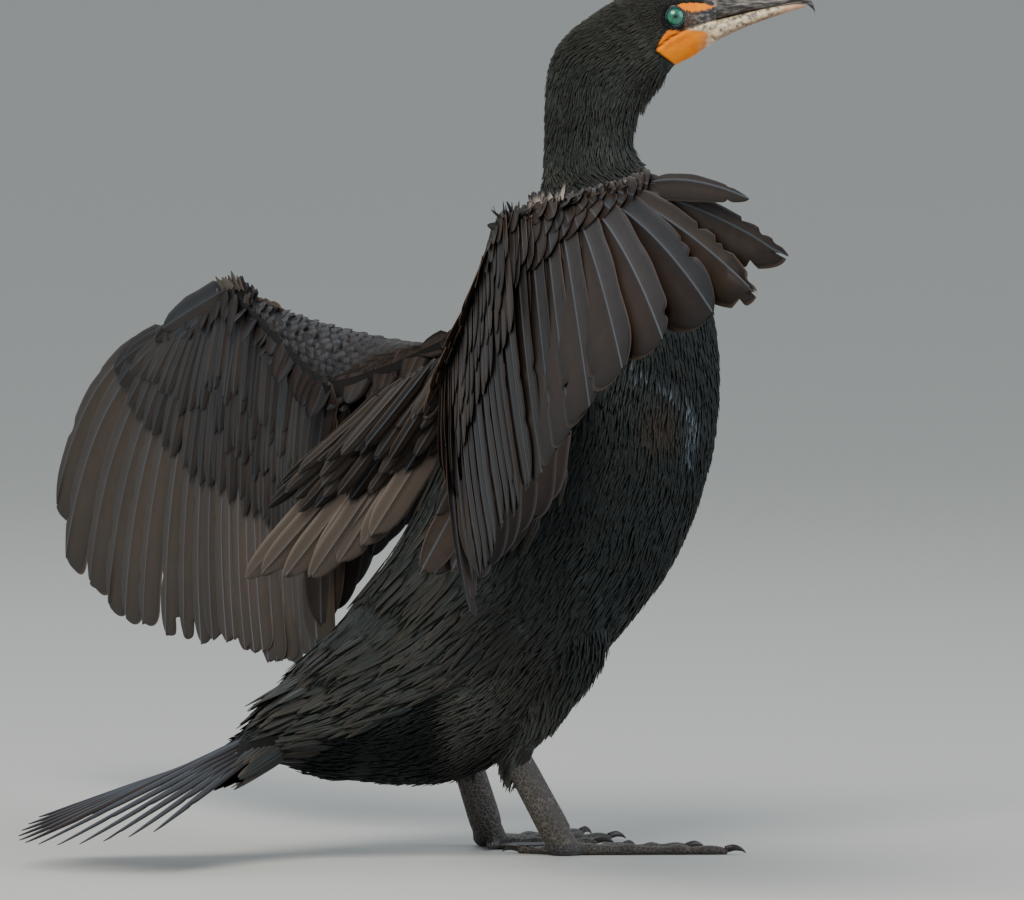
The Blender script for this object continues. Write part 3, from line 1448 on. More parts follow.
# Rows under the wing.
UNDER_TIERS = (Tier(12, 1.04, 1.95, 0.52, 0.5, 22, 1.6), Tier(9, 2.08, 2.9, 0.46, 0.3, 20, 1.6),
               Tier(15, 1.0, 2.0, 0.32, 0.3, 19, 3.4), Tier(9, 2.1, 2.85, 0.28, 0.2, 17, 3.2))
# Layers of the shoulder: number, share of the long feathers' length, width, lift, how much further out.
SHOULDER_LAYERS = ((12, 0.66, 10, 6, 0.05), (13, 0.54, 9.5, 9, 0.1), (13, 0.43, 9, 11.5, 0.16),
                   (13, 0.33, 8.5, 13.5, 0.2))
# Tufts of the front edge: from, to, number, length, width, downy root, lean.
EDGE_TUFTS = {
    Side.LEFT: ((1.94, 2.12, 18, 15, 8, 0.0, -0.5), (1.6, 1.9, 7, 10, 6, 0.0, -0.3)),
    Side.RIGHT: ((2.22, 2.42, 34, 13, 4.5, 0.6, -0.7), (2.84, 2.99, 26, 8, 3, 0.5, -0.6),
                 (1.95, 2.1, 12, 13, 5.5, 0.0, -0.2), (2.1, 2.95, 40, 13, 3.5, 0.35, 0.3)),
}


def arm_place(s: float, row: float) -> tuple[float, float]:
    """The spot on the bake map of feathers at a place of the arm."""
    return 0.02 + 0.32 * s, row


@dataclass
class Wing:
    """One open wing: flight feathers, covert tiers above and below, and the loose feathers of its edge."""

    plan: WingPlan
    rng: Generator
    secondaries: Tier = Tier(15, 1.03, 1.965, 1, 1, 22, 0, (0.42, 0.40))
    primaries: Tier = Tier(10, 2.07, 2.975, 1, 1, 32, 0, (0.34, 0.24))
    humerals: Tier = Tier(7, 0.42, 0.97, 0.86, 0.97, 24, 0, (0.45, 0.45), 0.02)

    def flight(self, finish: Material) -> Object:
        """Primaries, secondaries and the long inner feathers, as one piece."""
        bed = FeatherBed(40, LONG_COLUMNS, self.rng, strips=True)
        rng, near_side = self.rng, self.plan.side is Side.RIGHT
        row = replace(self.secondaries, count=12, width=26) if near_side else self.secondaries
        for i in range(row.count):
            brown = rng.uniform(0.2, 0.5) if near_side else rng.uniform(0.5, 0.9)
            marks = (brown, 0.6, rng.uniform(0.1, 0.5), rng.uniform(0, 0.45) + (0 if near_side else 0.5))
            self.lay(bed, row, i / (row.count - 1), notches=self.splits(2), ragged=0.012, marks=marks,
                     tip_from=0.9 if near_side else 0.93, point=0.05, grey=0.0 if near_side else 0.12)
        more = 0 if near_side else 0.3
        for i in range(self.primaries.count):
            worn, taper = near_side and i in (7, 8), max(0, i - 3)
            brown = 0.8 if near_side and i > 6 else rng.uniform(0.15, 0.55) + more
            marks = (brown, 0.6, rng.uniform(0.1, 0.6), rng.uniform(0.1, 0.5) + more)
            self.lay(bed, self.primaries, i / (self.primaries.count - 1), width=self.plan.hand_widths[i],
                     notches=self.splits(9 if worn else 2), ragged=0.10 if worn else 0.012, marks=marks,
                     tip_from=0.5 if i == 9 and near_side else 0.92 - 0.04 * taper * near_side,
                     point=0.06 * taper if near_side else 0.08, grey=0.0 if near_side else 0.09)
        for i in range(self.humerals.count):
            self.lay(bed, self.humerals, i / (self.humerals.count - 1), stem=0.6, tip_from=0.75, ragged=0.02,
                     marks=(rng.uniform(0.5, 0.9), 0.5, 0.3, rng.uniform(0.3, 0.8)))
        for i in range(9):
            marks = (0.8, 0.45, rng.uniform(0.2, 0.6), rng.uniform(0.6, 1.0))
            self.inner(bed, i / 8, 1.0, 19, 2.0, 0.05 if near_side else 0.5, marks)
        side = self.plan.side.label
        nodes = tuple(f"wing_{part}_{side}" for part in ("forearm", "hand", "arm"))
        return dress(bed.build(f"flight_feathers_{side}", finish), nodes)

    def splits(self, count: int) -> tuple:
        """Places where a web has come apart."""
        rng = self.rng
        return tuple((rng.uniform(0.5, 0.97), rng.uniform(0.1, 0.45), rng.choice((-1, 1)))
                     for _ in range(count))

    def grow(self, bed: FeatherBed, root: Array, way: Array, across: Array, normal: Array, length: float,
             width: float, **more: object) -> None:
        """Adds a feather of the right-wing drawing on this wing's side."""
        own = [self.plan.own(p) for p in (root, way, across, normal)]
        bed.add(Feather(*own, length, width, **more))

    def lay(self, bed: FeatherBed, tier: Tier, f: float, under: bool = False, width: float = 0.0,
            **more: object) -> None:
        """Adds the feather at a share of a tier, on the wing's own side."""
        plan = self.plan
        s = tier.near + (tier.far - tier.near) * f
        way, outward, normal, long = plan.axes(s)
        way = unit(way + outward * self.rng.normal(0, tier.loose))
        bow = float(np.interp(s, [b[0] for b in plan.bows], [b[1] for b in plan.bows]))
        share = tier.first + (tier.last - tier.first) * f
        louvre = radians((6 if tier.lift == 0 else 3) + 4 * exp(-(((s - 2) / 0.16) ** 2)))
        if under:
            normal = -normal
            louvre = -radians(4)
        root = plan.arm(s) + way * (5 if tier.lift == 0 else 2 + 120 * tier.loose * self.rng.uniform(-1, 1))
        length = long * share * (1 + self.rng.uniform(-1.3, 1.3) * tier.loose)
        self.grow(bed, root, way, outward, normal, length, width or tier.width,
                  outer=tier.outer[0] + (tier.outer[1] - tier.outer[0]) * f, host=long, bow=bow,
                  bulge=-0.10 if under else 0.10, lift=tier.lift, louvre=louvre,
                  place=arm_place(s, 0.5 + 0.04 * tier.lift), **more)

    def inner(self, bed: FeatherBed, f: float, share: float, width: float, lift: float, grey: float,
              marks: tuple, start: float = 0.0) -> None:
        """Adds one of the long feathers beside the body.

        Args:
            bed: where it goes.
            f: its place in the row; past 1 it lies further out.
            share: its share of the longest feathers' length there.
            width: its width in mm.
            lift: how far it lies above the arm, in mm.
            grey: how far it has faded.
            marks: its other tints.
            start: how much further along the arm it grows than the longest feathers do.
        """
        plan = self.plan
        first, last = plan.tertials
        s = first[0] + (last[0] - first[0]) * f + start
        way = unit(unit(first[1]) * (1 - f) + unit(last[1]) * f)
        long = (first[2] + (last[2] - first[2]) * min(f, 1.0)) * share
        outward = plan.arm(1.0) - plan.arm(0.0)
        outward = unit(outward - way * (outward @ way))
        normal = unit(np.cross(way, outward))
        way = unit(way + outward * self.rng.normal(0, 0.035) + normal * self.rng.normal(0, 0.015))
        root = plan.arm(s) + way * 4 + normal * (lift + 3 * self.rng.uniform())
        self.grow(bed, root, way, outward, normal, long, width, outer=0.4, bulge=0.05, stem=0.7, ragged=0.02,
                  tip_from=0.84, point=0.1, marks=marks, grey=grey, louvre=radians(3),
                  notches=((self.rng.uniform(0.5, 0.9), 0.3, -1),), place=arm_place(max(s, 0), 0.9))

    def coverts(self, finish: Material) -> Object:
        """The tiers over and under the wing, and the scale-like feathers out to its front edge."""
        bed = FeatherBed(8, SHORT_COLUMNS, self.rng)
        rng, far_side = self.rng, self.plan.side is Side.LEFT
        first, last = self.plan.hand_coverts
        reach = 1.24 if far_side else 1.0
        counts, widths = ((20, 24, 26), (17, 14)) if far_side else ((13, 17, 21), (22, 17))
        tiers = (Tier(counts[0], 1.02, 1.985, 0.49 * reach, 0.46 * reach, widths[0], 2.2, loose=0.03),
                 Tier(12, 2.06, 2.95, first, last, 20, 2.0, loose=0.02),
                 Tier(counts[1], 1.0, 2.06, 0.38 * reach, 0.33 * reach, widths[1], 3.2, loose=0.05),
                 Tier(13, 2.08, 2.93, first * 0.64, last * 0.7, 15, 3.0, loose=0.04),
                 Tier(counts[2], 0.95, 2.15, 0.27 * reach, 0.22 * reach, 13, 4.2, loose=0.06))
        for tier in tiers:
            for i in range(tier.count):
                marks = (rng.uniform(0.1, 0.8), 0.45, rng.uniform(0, 0.7),
                         rng.uniform(0.0, 0.7) if far_side else rng.uniform(0.1, 0.8))
                self.lay(bed, tier, i / (tier.count - 1), stem=0.5, marks=marks, ragged=0.02, tip_from=0.74)
        for tier in UNDER_TIERS:
            for i in range(tier.count):
                self.lay(bed, tier, i / (tier.count - 1), under=True, stem=0.3,
                         marks=(rng.uniform(0.1, 0.6), 0.5, 0.1, rng.uniform(0, 1)))
        for upper in (1, -1):
            self.scales(bed, upper)
        self.shoulder(bed)
        self.edge_tufts(bed)
        return dress(bed.build(f"coverts_{self.plan.side.label}", finish))

    def shoulder(self, bed: FeatherBed) -> None:
        """Adds the layers of shoulder feathers that lie over the long inner ones."""
        rng = self.rng
        for count, share, width, lift, start in SHOULDER_LAYERS:
            for i in range(count):
                marks = (rng.uniform(0.0, 0.6), 0.5, rng.uniform(0, 0.5), rng.uniform(0.1, 0.9))
                self.inner(bed, -0.1 + 1.55 * i / (count - 1), share * rng.uniform(0.9, 1.1), width, lift,
                           rng.uniform(0, 0.25), marks, start)

    def edge_tufts(self, bed: FeatherBed) -> None:
        """Adds the thumb feathers and the small loose tufts of the front edge."""
        plan, rng, far_side = self.plan, self.rng, self.plan.side is Side.LEFT
        hand = unit(plan.arm(3.0) - plan.arm(2.0))
        for i in range(4 if far_side else 0):
            way, _, normal, _ = plan.axes(2.2)
            way = unit(hand + way * (0.02 + 0.10 * i))
            root = plan.arm(2.04) - plan.feather(2.1)[0] * (4.5 - 3.0 * i) + normal * (6 - i)
            self.grow(bed, root, way, unit(np.cross(normal, way)), normal, 118 - 9 * i, 17,
                      bulge=0.03, tip_from=0.6, stem=0.5, marks=(0.0, 0.5, 0.4, 0.45), place=(0.7, 0.95))
        for near, far, count, long, width, down, lean in EDGE_TUFTS[plan.side]:
            for _ in range(count):
                s = near + (far - near) * rng.uniform()
                way, outward, normal, _ = plan.axes(s)
                root = plan.leading_edge(s) + normal * rng.uniform(-1, 3)
                aim = unit(way * lean + outward * rng.normal(0.2, 0.3) + normal * rng.uniform(0.1, 0.5))
                out = unit(np.cross(aim, normal))
                self.grow(bed, root, aim, out, unit(np.cross(out, aim)), long * rng.uniform(0.7, 1.2), width,
                          bulge=0.1, sunk=2, tip_from=0.5, point=0.4, stem=0.2, louvre=0.0,
                          thick=0.26, marks=(0.1, 0.4, 0.2, rng.uniform(0, 0.4)), down=down,
                          grey=0.35 * far_side, place=arm_place(s, 0.97))

    def scales(self, bed: FeatherBed, upper: int) -> None:
        """Adds small overlapping feathers on the arm's upper or lower skin."""
        plan, rng = self.plan, self.rng
        spacing = 7.6 if upper > 0 else 10
        s, row = 0.12, 0
        while s < 2.98:
            front, bone = plan.cover(s, 0.0)[0], plan.cover(s, 1.0)[0]
            reach = float(np.linalg.norm(bone - front)) + 6
            count = max(2, int(reach / spacing))
            for i in range(count):
                back = min(1.0, (i + 0.5 * (row % 2) + rng.uniform(-0.25, 0.25)) / count)
                back = max(back, 0.0)
                p, n, way, half = plan.cover(min(s + rng.normal(0, 0.008), 2.99), back)
                outward = unit(np.cross(n, way)) * -1
                toward = plan.axes(s)[0]
                way = unit(way * (1 - 0.65 * back) + toward * 0.65 * back + outward * rng.normal(0, 0.12))
                way = unit(way + n * upper * (rng.uniform(0.01, 0.07) + 0.2 * back**3))
                outward = unit(outward - way * (outward @ way))
                normal = unit(np.cross(way, outward)) * upper
                size = (13 + 10 * back) * (1.0 if s < 2 else 0.85)
                root = p + n * upper * max(half - 1.1 + 0.6 * back, 0.4)
                if plan.side is Side.RIGHT:
                    marks = (rng.uniform(0.3, 0.8), 0.45, rng.uniform(0.3, 0.8), rng.uniform(0.4, 0.9))
                else:
                    brown = rng.uniform(0.5, 0.9) if s < 0.9 else rng.uniform(0.0, 0.35)
                    marks = (brown, 0.85, rng.uniform(0.05, 0.35), rng.uniform(0.1, 0.7))
                self.grow(bed, root, way, outward, normal, size * rng.uniform(0.85, 1.2), size * 0.6,
                          bulge=0.08, sunk=2.0, point=0.15, louvre=0.0, droop=0.12, tip_from=0.45,
                          stem=0.22, thick=0.3, marks=marks, place=arm_place(s, 0.45 * back + 0.02))
            step = float(np.linalg.norm(plan.leading_edge(min(s + 0.02, 3)) - plan.leading_edge(s))
                         + np.linalg.norm(plan.arm(min(s + 0.02, 3)) - plan.arm(s))) / 0.04
            s += (spacing * 0.95) / max(step, 20.0)
            row += 1

    def core(self) -> Object:
        """The arm's flesh inside the feathers, for the one skin."""
        return loft("core", [self.plan.ring(s, 1.6) for s in np.linspace(0, 3, 40)])


def tail_axes(drop: float) -> tuple[Array, Array]:
    """Backward and upward directions of a tail that hangs down by an angle."""
    return np.array((-cos(drop), 0, -sin(drop))), np.array((-sin(drop), 0, cos(drop)))


@dataclass
class Tail:
    """Twelve stiff narrow feathers in a fan, the middle ones on top."""

    rng: Generator
    count: int = 12
    long: float = 149
    shorter: float = 26
    wide: float = 10.5

    def build(self, finish: Material) -> Object:
        """Lays the fan."""
        back, up = tail_axes(TAIL_DROP - radians(1.0))
        rng = self.rng
        bed = FeatherBed(40, LONG_COLUMNS, rng, strips=True)
        for i in range(self.count):
            f = 2 * i / (self.count - 1) - 1
            turn = TAIL_FAN * f
            way = unit(back * cos(turn) + np.array((0, 1, 0)) * sin(turn))
            across = np.array((0.0, 1.0, 0.0)) * (1 if f > 0 else -1)
            across = unit(across - way * (across @ way))
            lift = 3.5 - 6.5 * abs(f)
            long = self.long - self.shorter * abs(f) ** 1.6
            root = TAIL_ROOT + np.array((0, 11 * f, 0)) + up * (lift + 3.0) + back * 14
            marks = (0.0, 0.6, 0.15, rng.uniform(0.1, 0.6))
            notches = tuple((rng.uniform(0.6, 0.95), 0.4, edge) for edge in (1, -1))
            bed.add(Feather(root, way, across, up, long, self.wide, point=0.35, bulge=0.02,
                            sunk=18, droop=0.28, stem=1.3, tip_from=0.5, marks=marks, notches=notches))
        return dress(bed.build("tail_feathers", finish), ("tail",))

    def root(self) -> Object:
        """The fleshy root that the tail grows from."""
        rows = []
        back, up = tail_axes(TAIL_DROP)
        for reach, high, wide in ((-16, 10, 15), (0, 10.5, 18), (16, 7.0, 19), (30, 3.4, 19)):
            rows.append((*(TAIL_ROOT + back * reach), *up, 0, 1, 0, high, high * 0.8, wide))
        return Tube(np.array(rows)).loft("tail_root", 12, 36, -1.0)


# Patches of loose feathers: place along the body from, to; angle from the back from, to; number; length;
# width; rise; grey; worn.
LOOSE_PATCHES = (
    (0.02, 0.15, -150, 150, 230, 22, 3.4, 1.8, 0.15, 0.3),
    (0.12, 0.23, 30, 118, 200, 24, 3.2, 1.2, 0.16, 0.3),
    (0.12, 0.23, -118, -30, 220, 24, 3.2, 1.2, 0.16, 0.3),
    (0.2, 0.36, -62, 62, 120, 24, 5.5, 1.0, 0.1, 0.3),
    (0.03, 0.09, -50, 50, 34, 26, 6.0, 5.5, 0.3, 0.3),
    (0.34, 0.52, -50, 50, 100, 22, 8.0, 1.2, 0.2, 0.5))


@dataclass
class Loose:
    """Longer single feathers over the coat: flanks, rump, thighs, back and the covers of the tail."""

    body: Tube
    rng: Generator

    def build(self, finish: Material) -> None:
        """Makes the feathers of the body and those of the tail root."""
        rng = self.rng
        bed = FeatherBed(8, SHORT_COLUMNS, rng)
        for first, last, low, high, count, *look in LOOSE_PATCHES:
            for _ in range(count):
                t = rng.uniform(first, last)
                turn = radians(rng.uniform(low, high))
                root = self.body.point(np.array([t]), np.array([turn]))[0]
                if root[2] >= vent_line(root) - 2:
                    self.feather(bed, self.body, t, turn, *look)
        for side in Side:
            tube = thigh_tube(side)
            for _ in range(60):
                t, turn = rng.uniform(0.06, 0.5), rng.uniform(0, 2 * pi)
                self.feather(bed, tube, t, turn, 20, 4.6, 1.6, 0.4, 0.9)
        for turn in np.linspace(0, 2 * pi, 46, endpoint=False):
            way = unit((-cos(TAIL_DROP), 0.35 * sin(turn), -sin(TAIL_DROP)))
            out = np.array((0, sin(turn), cos(turn)))
            normal = unit(out - way * (out @ way))
            root = TAIL_ROOT + np.array((8.0, 15 * sin(turn), 9 * cos(turn) - 1))
            across = unit(np.cross(way, normal))
            bed.add(Feather(root, way, across, normal, rng.uniform(30, 48), 7.0, bulge=0.03,
                            sunk=3, tip_from=0.45, point=0.3, stem=0.3, louvre=0.0, droop=0.2,
                            marks=(rng.uniform(0, 0.4), 0.5, rng.uniform(0, 0.4), rng.uniform(0, 0.6)),
                            grey=0.2 * (normal[2] > 0), place=(0.03, 0.5)))
        dress(bed.build("loose_feathers", finish))

    def feather(self, bed: FeatherBed, tube: Tube, t: float, turn: float, long: float, width: float,
                rise: float, grey: float, worn: float) -> None:
        """Adds one feather that lies along the surface of a tube."""
        rng = self.rng
        normal, lie = tube.frame(np.array([t]), np.array([turn]))
        root = tube.point(np.array([t]), np.array([turn]), -1.5)[0]
        normal, lie = normal[0], lie[0]
        across = unit(np.cross(lie, normal))
        lie = unit(lie + across * rng.normal(0, 0.10) + normal * rise / long)
        across = unit(np.cross(lie, normal))
        normal = unit(np.cross(across, lie))
        under = float(np.clip(-normal[2] * 1.6, 0, 1))
        bed.add(Feather(root, lie, across, normal, long * rng.uniform(0.8, 1.2), width,
                        bulge=0.03, sunk=2, tip_from=0.35, point=0.45, stem=0.2, louvre=0.0, droop=0.1,
                        thick=0.22, marks=(rng.uniform(0, 0.4), 0.5, worn * rng.uniform(0, 1) * (1 - under),
                                           rng.uniform(0, 0.9) * (1 - under)),
                        grey=grey * rng.uniform(0.2, 1.0) * (1 - under), place=body_place(t, turn)))


@dataclass
class Head:
    """Eyes, lids and bill."""

    sides: int = 32

    def build(self, horn: Material, eye: Material, lid: Material) -> None:
        """Makes the bill and both eyes with their lids."""
        self.bill("upper", UPPER_BILL, True, horn)
        self.bill("lower", LOWER_BILL, False, horn)
        for side in Side:
            self.eye(side, eye)
            self.lid(side, lid)

    def bill(self, name: str, rows: tuple, upper: bool, finish: Material) -> Object:
        """Lofts one half of the bill, with its side groove and its cutting edge."""
        rings = []
        if not upper:
            # The cutting edges meet, so that the mouth shows as one dark line.
            rows = tuple((place, high + 0.45, low, wide) for place, high, low, wide in rows)
        rows = ((88.0, rows[0][1] - 1.2, rows[0][2], rows[0][3] - 0.8), *rows)
        for t in np.linspace(0, len(rows) - 1, 90):
            forward, high, low, wide = spline(rows, t)
            ring = []
            for k in range(self.sides):
                turn = 2 * pi * k / self.sides
                c, s = cos(turn), sin(turn)
                flat, far = (low, high) if upper else (high, low)
                share = (c + 1) / 2
                across = copysign(abs(s) ** 0.8, s) * wide * (1 - 0.25 * share**2)
                groove = 0.5 * exp(-(((share - 0.62) / 0.09) ** 2))
                groove = groove * min(1, max(0, (134 - forward) / 10))
                across -= copysign(groove, across) if upper else 0
                ring.append(head_point(forward, across, flat + (far - flat) * share**0.9))
            rings.append(ring)
        made = loft(f"horny_bill_{name}", rings, finish)
        forward, _, height = head_view(drawing_points(made.data))
        bottom = np.interp(forward, [row[0] for row in rows], [row[2] for row in rows])
        cream = np.full(len(forward), 0.0 if upper else 1.0)
        mark(made.data, "cream", cream * soft_step(136 - forward, 10))
        top = np.interp(forward, [row[0] for row in rows], [row[1] for row in rows])
        mark(made.data, "mouth", (0.0 if upper else 1.0) * soft_step(height - top + 0.2, 0.4))
        mark(made.data, "keel", cream * soft_step(bottom + 2.2 - height, 2.0) * 0.7)
        mark(made.data, "tip", 0.8 * cream * soft_step(forward - 127, 6))
        return dress(made, (f"bill_{name}",))

    @staticmethod
    def eye_frame(side: Side) -> tuple[Array, Array, Array, Array]:
        """Middle of an eyeball, and its outward, forward and upward directions."""
        middle = head_point(EYE[0], side.value * EYE_DEEP, EYE[1])
        out = unit(head_way(0, side.value) + 0.10 * head_way(1, 0))
        ahead = head_way(1, side.value * 0.10)
        ahead = unit(ahead - out * (ahead @ out))
        return middle, out, ahead, np.cross(out, ahead)

    def eye(self, side: Side, finish: Material) -> Object:
        """A ball with the iris facing outwards."""
        middle, out, ahead, up = self.eye_frame(side)
        bm = bmesh.new()
        bmesh.ops.create_uvsphere(bm, u_segments=64, v_segments=48, radius=EYE_RADIUS)
        for vert in bm.verts:
            x, y, z = vert.co
            vert.co = metres(middle + ahead * x + up * y + out * z)
        bmesh.ops.recalc_face_normals(bm, faces=bm.faces)
        name = f"eyeball_{side.label}"
        mesh = settled(bm, name)
        p = drawing_points(mesh) - middle
        depth = p @ out
        off = np.linalg.norm(p - depth[:, None] * out, axis=1)
        mark(mesh, "off", np.where(depth > 0, off, 9.0))
        return dress(new_object(name, mesh, finish), (f"eye_{side.label}",))

    def lid(self, side: Side, finish: Material) -> Object:
        """A dark rim of small beads round the eye."""
        middle, out, ahead, up = self.eye_frame(side)
        rim = middle + out * 3.9
        beads = []
        count = 30
        for i in range(count):
            a = 2 * pi * i / count
            spot = rim + (ahead * cos(a) + up * sin(a)) * 4.95 + out * 0.35
            bm = bmesh.new()
            bmesh.ops.create_icosphere(bm, subdivisions=2, radius=0.42)
            bmesh.ops.translate(bm, verts=bm.verts, vec=Vector(spot))
            for vert in bm.verts:
                vert.co = metres(np.array(vert.co))
            mesh = settled(bm, "bead")
            mark(mesh, "pale", np.ones(len(mesh.vertices)))
            beads.append(new_object("bead", mesh, None))
        turns = []
        for i in range(48):
            a = 2 * pi * i / 48
            spoke = ahead * cos(a) + up * sin(a)
            turns.append([rim - out * 0.4 + spoke * (4.95 + 0.62 * cos(b)) + out * 0.8 * sin(b)
                          for b in np.arange(8) * pi / 4])
        ring = loft("rim", turns + [turns[0]], capped=False)
        mark(ring.data, "pale", np.zeros(len(ring.data.vertices)))
        beads.append(ring)
        return dress(join(f"lid_{side.label}", beads, finish))


@dataclass
class Leg:
    """One leg below the feathers: scaled shank, webbed foot and claws."""

    side: Side
    toes: tuple = (("hallux", -122, 27, 3.3), ("inner", -24, 55, 3.6), ("middle", 3, 74, 4.0),
                   ("outer", 27, 86, 4.2))
    claw: float = 10

    def build(self, scales: Material, horn: Material) -> None:
        """Makes shank and foot as one skin, and the four claws."""
        turn = np.array((1, self.side.value, 1))
        ankle, joint = ANKLE * turn, FOOT_JOINT * turn
        along = joint - ankle
        thigh_end = np.array(THIGH[-1][:3]) * turn
        thigh_way = thigh_end - np.array(THIGH[-2][:3]) * turn
        points = [(thigh_end - unit(thigh_way) * 5, thigh_way, 8.0, 6.4)]
        points += [(ankle + along * share, along, fore, lateral) for share, fore, lateral in TARSUS]
        shank = Tube(finer(leg_rows(points), 40)).loft("shank", 40, 28)
        label = self.side.label
        foot = join(f"webbed_foot_{label}", [shank, *self.foot(joint, unit(along))], scales)
        remesh(foot, 0.75, 3)
        p = drawing_points(foot.data)
        low = p[:, 2] < 0.0
        p[low, 2] = 0.0
        move(foot.data, p)
        mark(foot.data, "web", self.web_marks(p, joint))
        dress(foot, (f"tarsus_{label}", f"foot_{label}"))
        for name, heading, long, half in self.toes:
            self.nail(name, heading, long, half, joint, horn)

    def heading(self, turn: float) -> Array:
        """Direction on the floor of a toe turned outwards by that many degrees."""
        a = radians(turn)
        return np.array((cos(a), self.side.value * sin(a), 0))

    def foot(self, joint: Array, along: Array) -> list:
        """The heel, the four toes with their joints, and the web."""
        base = joint * (1, 1, 0) + (4, 0, 0)
        rows = []
        for lift, fore, lateral in HEEL:
            middle = joint + along * (FOOT_JOINT[2] - lift) / max(-along[2], 0.2)
            rows.append((middle[0], middle[1], lift, 1, 0, 0, 0, -1, 0, fore, fore, lateral))
        parts = [Tube(np.array(rows)).loft("heel", 10, 24)]
        for _, turn, long, half in self.toes:
            way = self.heading(turn)
            across = np.cross((0, 0, 1), way)
            rows = []
            for share, size in TOE_JOINTS:
                wide = half * size
                high = wide * 0.72
                middle = base + way * long * share + np.array((0, 0, high * 0.92))
                rows.append((*middle, 0, 0, 1, *across, high, high, wide))
            parts.append(Tube(finer(rows, 44)).loft("toe", 44, 16))
        parts.append(self.web(base))
        return parts

    def web(self, base: Array) -> Object:
        """The skin between the toes, hanging a little between them, with a curved front edge."""
        steps = 12
        total = steps * (len(self.toes) - 1)
        rings = []
        for share in np.linspace(0.04, 0.95, 16):
            low, high = [], []
            for i in range(total + 1):
                toe = min(i // steps, len(self.toes) - 2)
                f = i / steps - toe
                (_, t0, l0, _), (_, t1, l1, _) = self.toes[toe], self.toes[toe + 1]
                scallop = 1 - 0.15 * share * sin(pi * f)
                fold = 0.35 * sin(9 * share + 5 * f) * sin(pi * f)
                lift = 0.5 + (0.9 * sin(pi * f) + fold) * share
                point = base + self.heading(t0 + (t1 - t0) * f) * (l0 + (l1 - l0) * f) * share * scallop
                low.append(point + np.array((0, 0, lift)))
                high.append(point + np.array((0, 0, lift + 1.5)))
            rings.append(low + high[::-1])
        return loft("web", rings)

    def web_marks(self, p: Array, joint: Array) -> Array:
        """1 on the web and 0 on the toes and shank."""
        base = joint * (1, 1, 0) + (4, 0, 0)
        flat = (p - base) * np.array((1, 1, 0))
        nearest = np.full(len(p), 99.0)
        for _, turn, long, half in self.toes:
            way = self.heading(turn)
            share = np.clip(flat @ way, 0, long)
            nearest = np.minimum(nearest, np.linalg.norm(flat - way * share[:, None], axis=1) - half)
        return soft_step(nearest - 0.2, 0.8) * (p[:, 2] < 6)

    def nail(self, name: str, turn: float, long: float, half: float, joint: Array,
             finish: Material) -> Object:
        """One curved claw."""
        way = self.heading(turn)
        across = np.cross((0, 0, 1), way)
        tip = joint * (1, 1, 0) + (4, 0, 0) + way * long
        half = half * 0.72
        rows = []
        for reach, size, lift in ((-1.5, 0.66, 0.35), (1, 0.72, 0.5), (4.0, 0.62, 0.7), (7.5, 0.38, 0.55),
                                  (self.claw - 0.2, 0.1, 0.15)):
            middle = tip + way * reach + np.array((0, 0, 0.12 + half * (lift + size * 0.6)))
            rows.append((*middle, 0, 0, 1, *across, half * size, half * size * 0.8, half * size * 0.75))
        claw = f"{name}_{self.side.label}"
        made = Tube(finer(rows, 18)).loft(f"nail_{claw}", 18, 14, finish=finish)
        return dress(made, (f"claw_{claw}",))


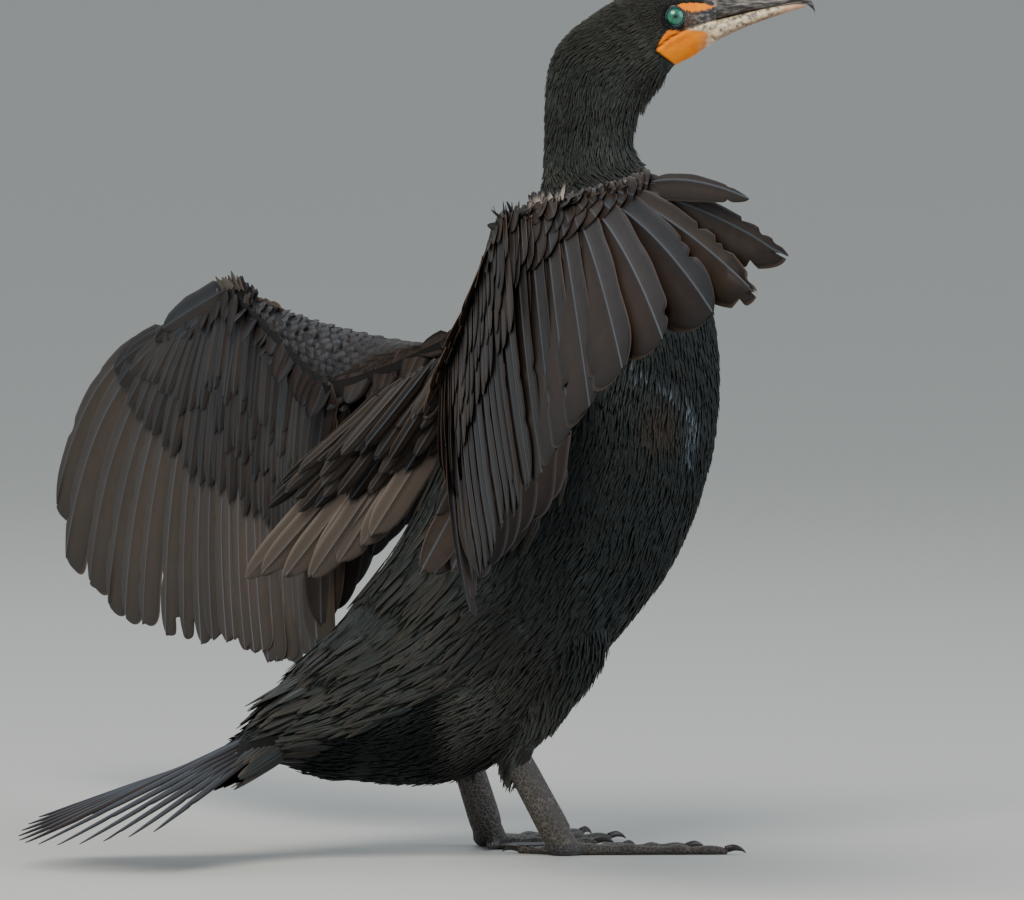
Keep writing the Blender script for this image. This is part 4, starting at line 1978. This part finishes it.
@dataclass
class Studio:
    """Plain pale floor, soft light and a camera at the photo's own view."""

    turn: float = radians(30)
    rise: float = radians(3)
    distance: float = 10000.0
    aim: tuple = (-14.737, 210.526)
    lens: float = 667.97

    def build(self) -> None:
        """Makes floor, lights and camera."""
        bm = bmesh.new()
        bmesh.ops.create_circle(bm, cap_ends=True, segments=96, radius=60.0)
        floor = new_object("floor", settled(bm, "floor"), Paint().build())
        world = bpy.data.worlds.new("sky")
        bpy.context.scene.world = world
        world.use_nodes = True
        world.node_tree.nodes["Background"].inputs["Color"].default_value = colour("#dfe6ea")
        world.node_tree.nodes["Background"].inputs["Strength"].default_value = 0.62
        self.light("key", (-1.6, -1.6, 2.4), 95, 1.6, "#fff6ea")
        self.light("fill", (1.8, -1.6, 1.2), 28, 2.0, "#e6efff")
        self.light("rim", (0.6, 2.0, 2.0), 12, 1.6, "#f4f8ff")
        self.camera()

    @staticmethod
    def put(name: str, data: object, where: object, way: Vector) -> Object:
        """Adds a lamp or camera at a place, facing along a direction."""
        made = new_object(name, data, None)
        made.location = where
        made.rotation_mode = "QUATERNION"
        made.rotation_quaternion = way.to_track_quat("-Z", "Y")
        return made

    def light(self, name: str, where: tuple, power: float, size: float, tint: str) -> None:
        """A square soft lamp that faces the bird."""
        lamp = bpy.data.lights.new(name, "AREA")
        lamp.energy = power
        lamp.size = size
        lamp.color = colour(tint)[:3]
        self.put(name, lamp, where, Vector((0, 0, 0.22)) - Vector(where))

    def camera(self) -> None:
        """The camera, at the photo's own view."""
        c, s = cos(self.turn), sin(self.turn)
        back = np.array((-s * cos(self.rise), -c * cos(self.rise), sin(self.rise)))
        right = np.array((c, -s, 0))
        up = np.cross(right, -back)
        up = up if up[2] > 0 else -up
        data = bpy.data.cameras.new("view")
        data.sensor_width = 36
        data.lens = self.lens
        data.clip_start, data.clip_end = 0.5, 200
        place = right * self.aim[0] + up * self.aim[1] + back * self.distance
        bpy.context.scene.camera = self.put("view", data, metres(place), Vector(-back))


def main() -> None:
    """Builds the bird over the loaded solids."""
    logging.basicConfig(level=logging.INFO, format="%(message)s")
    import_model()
    rng = np.random.default_rng(SEED)
    plumage, flight, hide = Plumage().build(), Flight().build(), Hide().build()
    scales, claw = Scales().build(), ClawHorn().build()
    body = body_tube()
    tail = Tail(rng)
    wings = [Wing(LEFT_WING, rng), Wing(RIGHT_WING, rng)]
    skin = BodyHide(body)
    skin.build(hide, [wing.core() for wing in wings] + [tail.root()])
    BodyCoat(body, rng).build(skin, plumage)
    for wing in wings:
        wing.flight(flight)
        wing.coverts(flight)
    tail.build(flight)
    Loose(body, rng).build(plumage)
    Head().build(Horn().build(), Iris().build(), LidSkin().build())
    for side in Side:
        Leg(side).build(scales, claw)
    Studio().build()


if __name__ == "__main__":
    main()
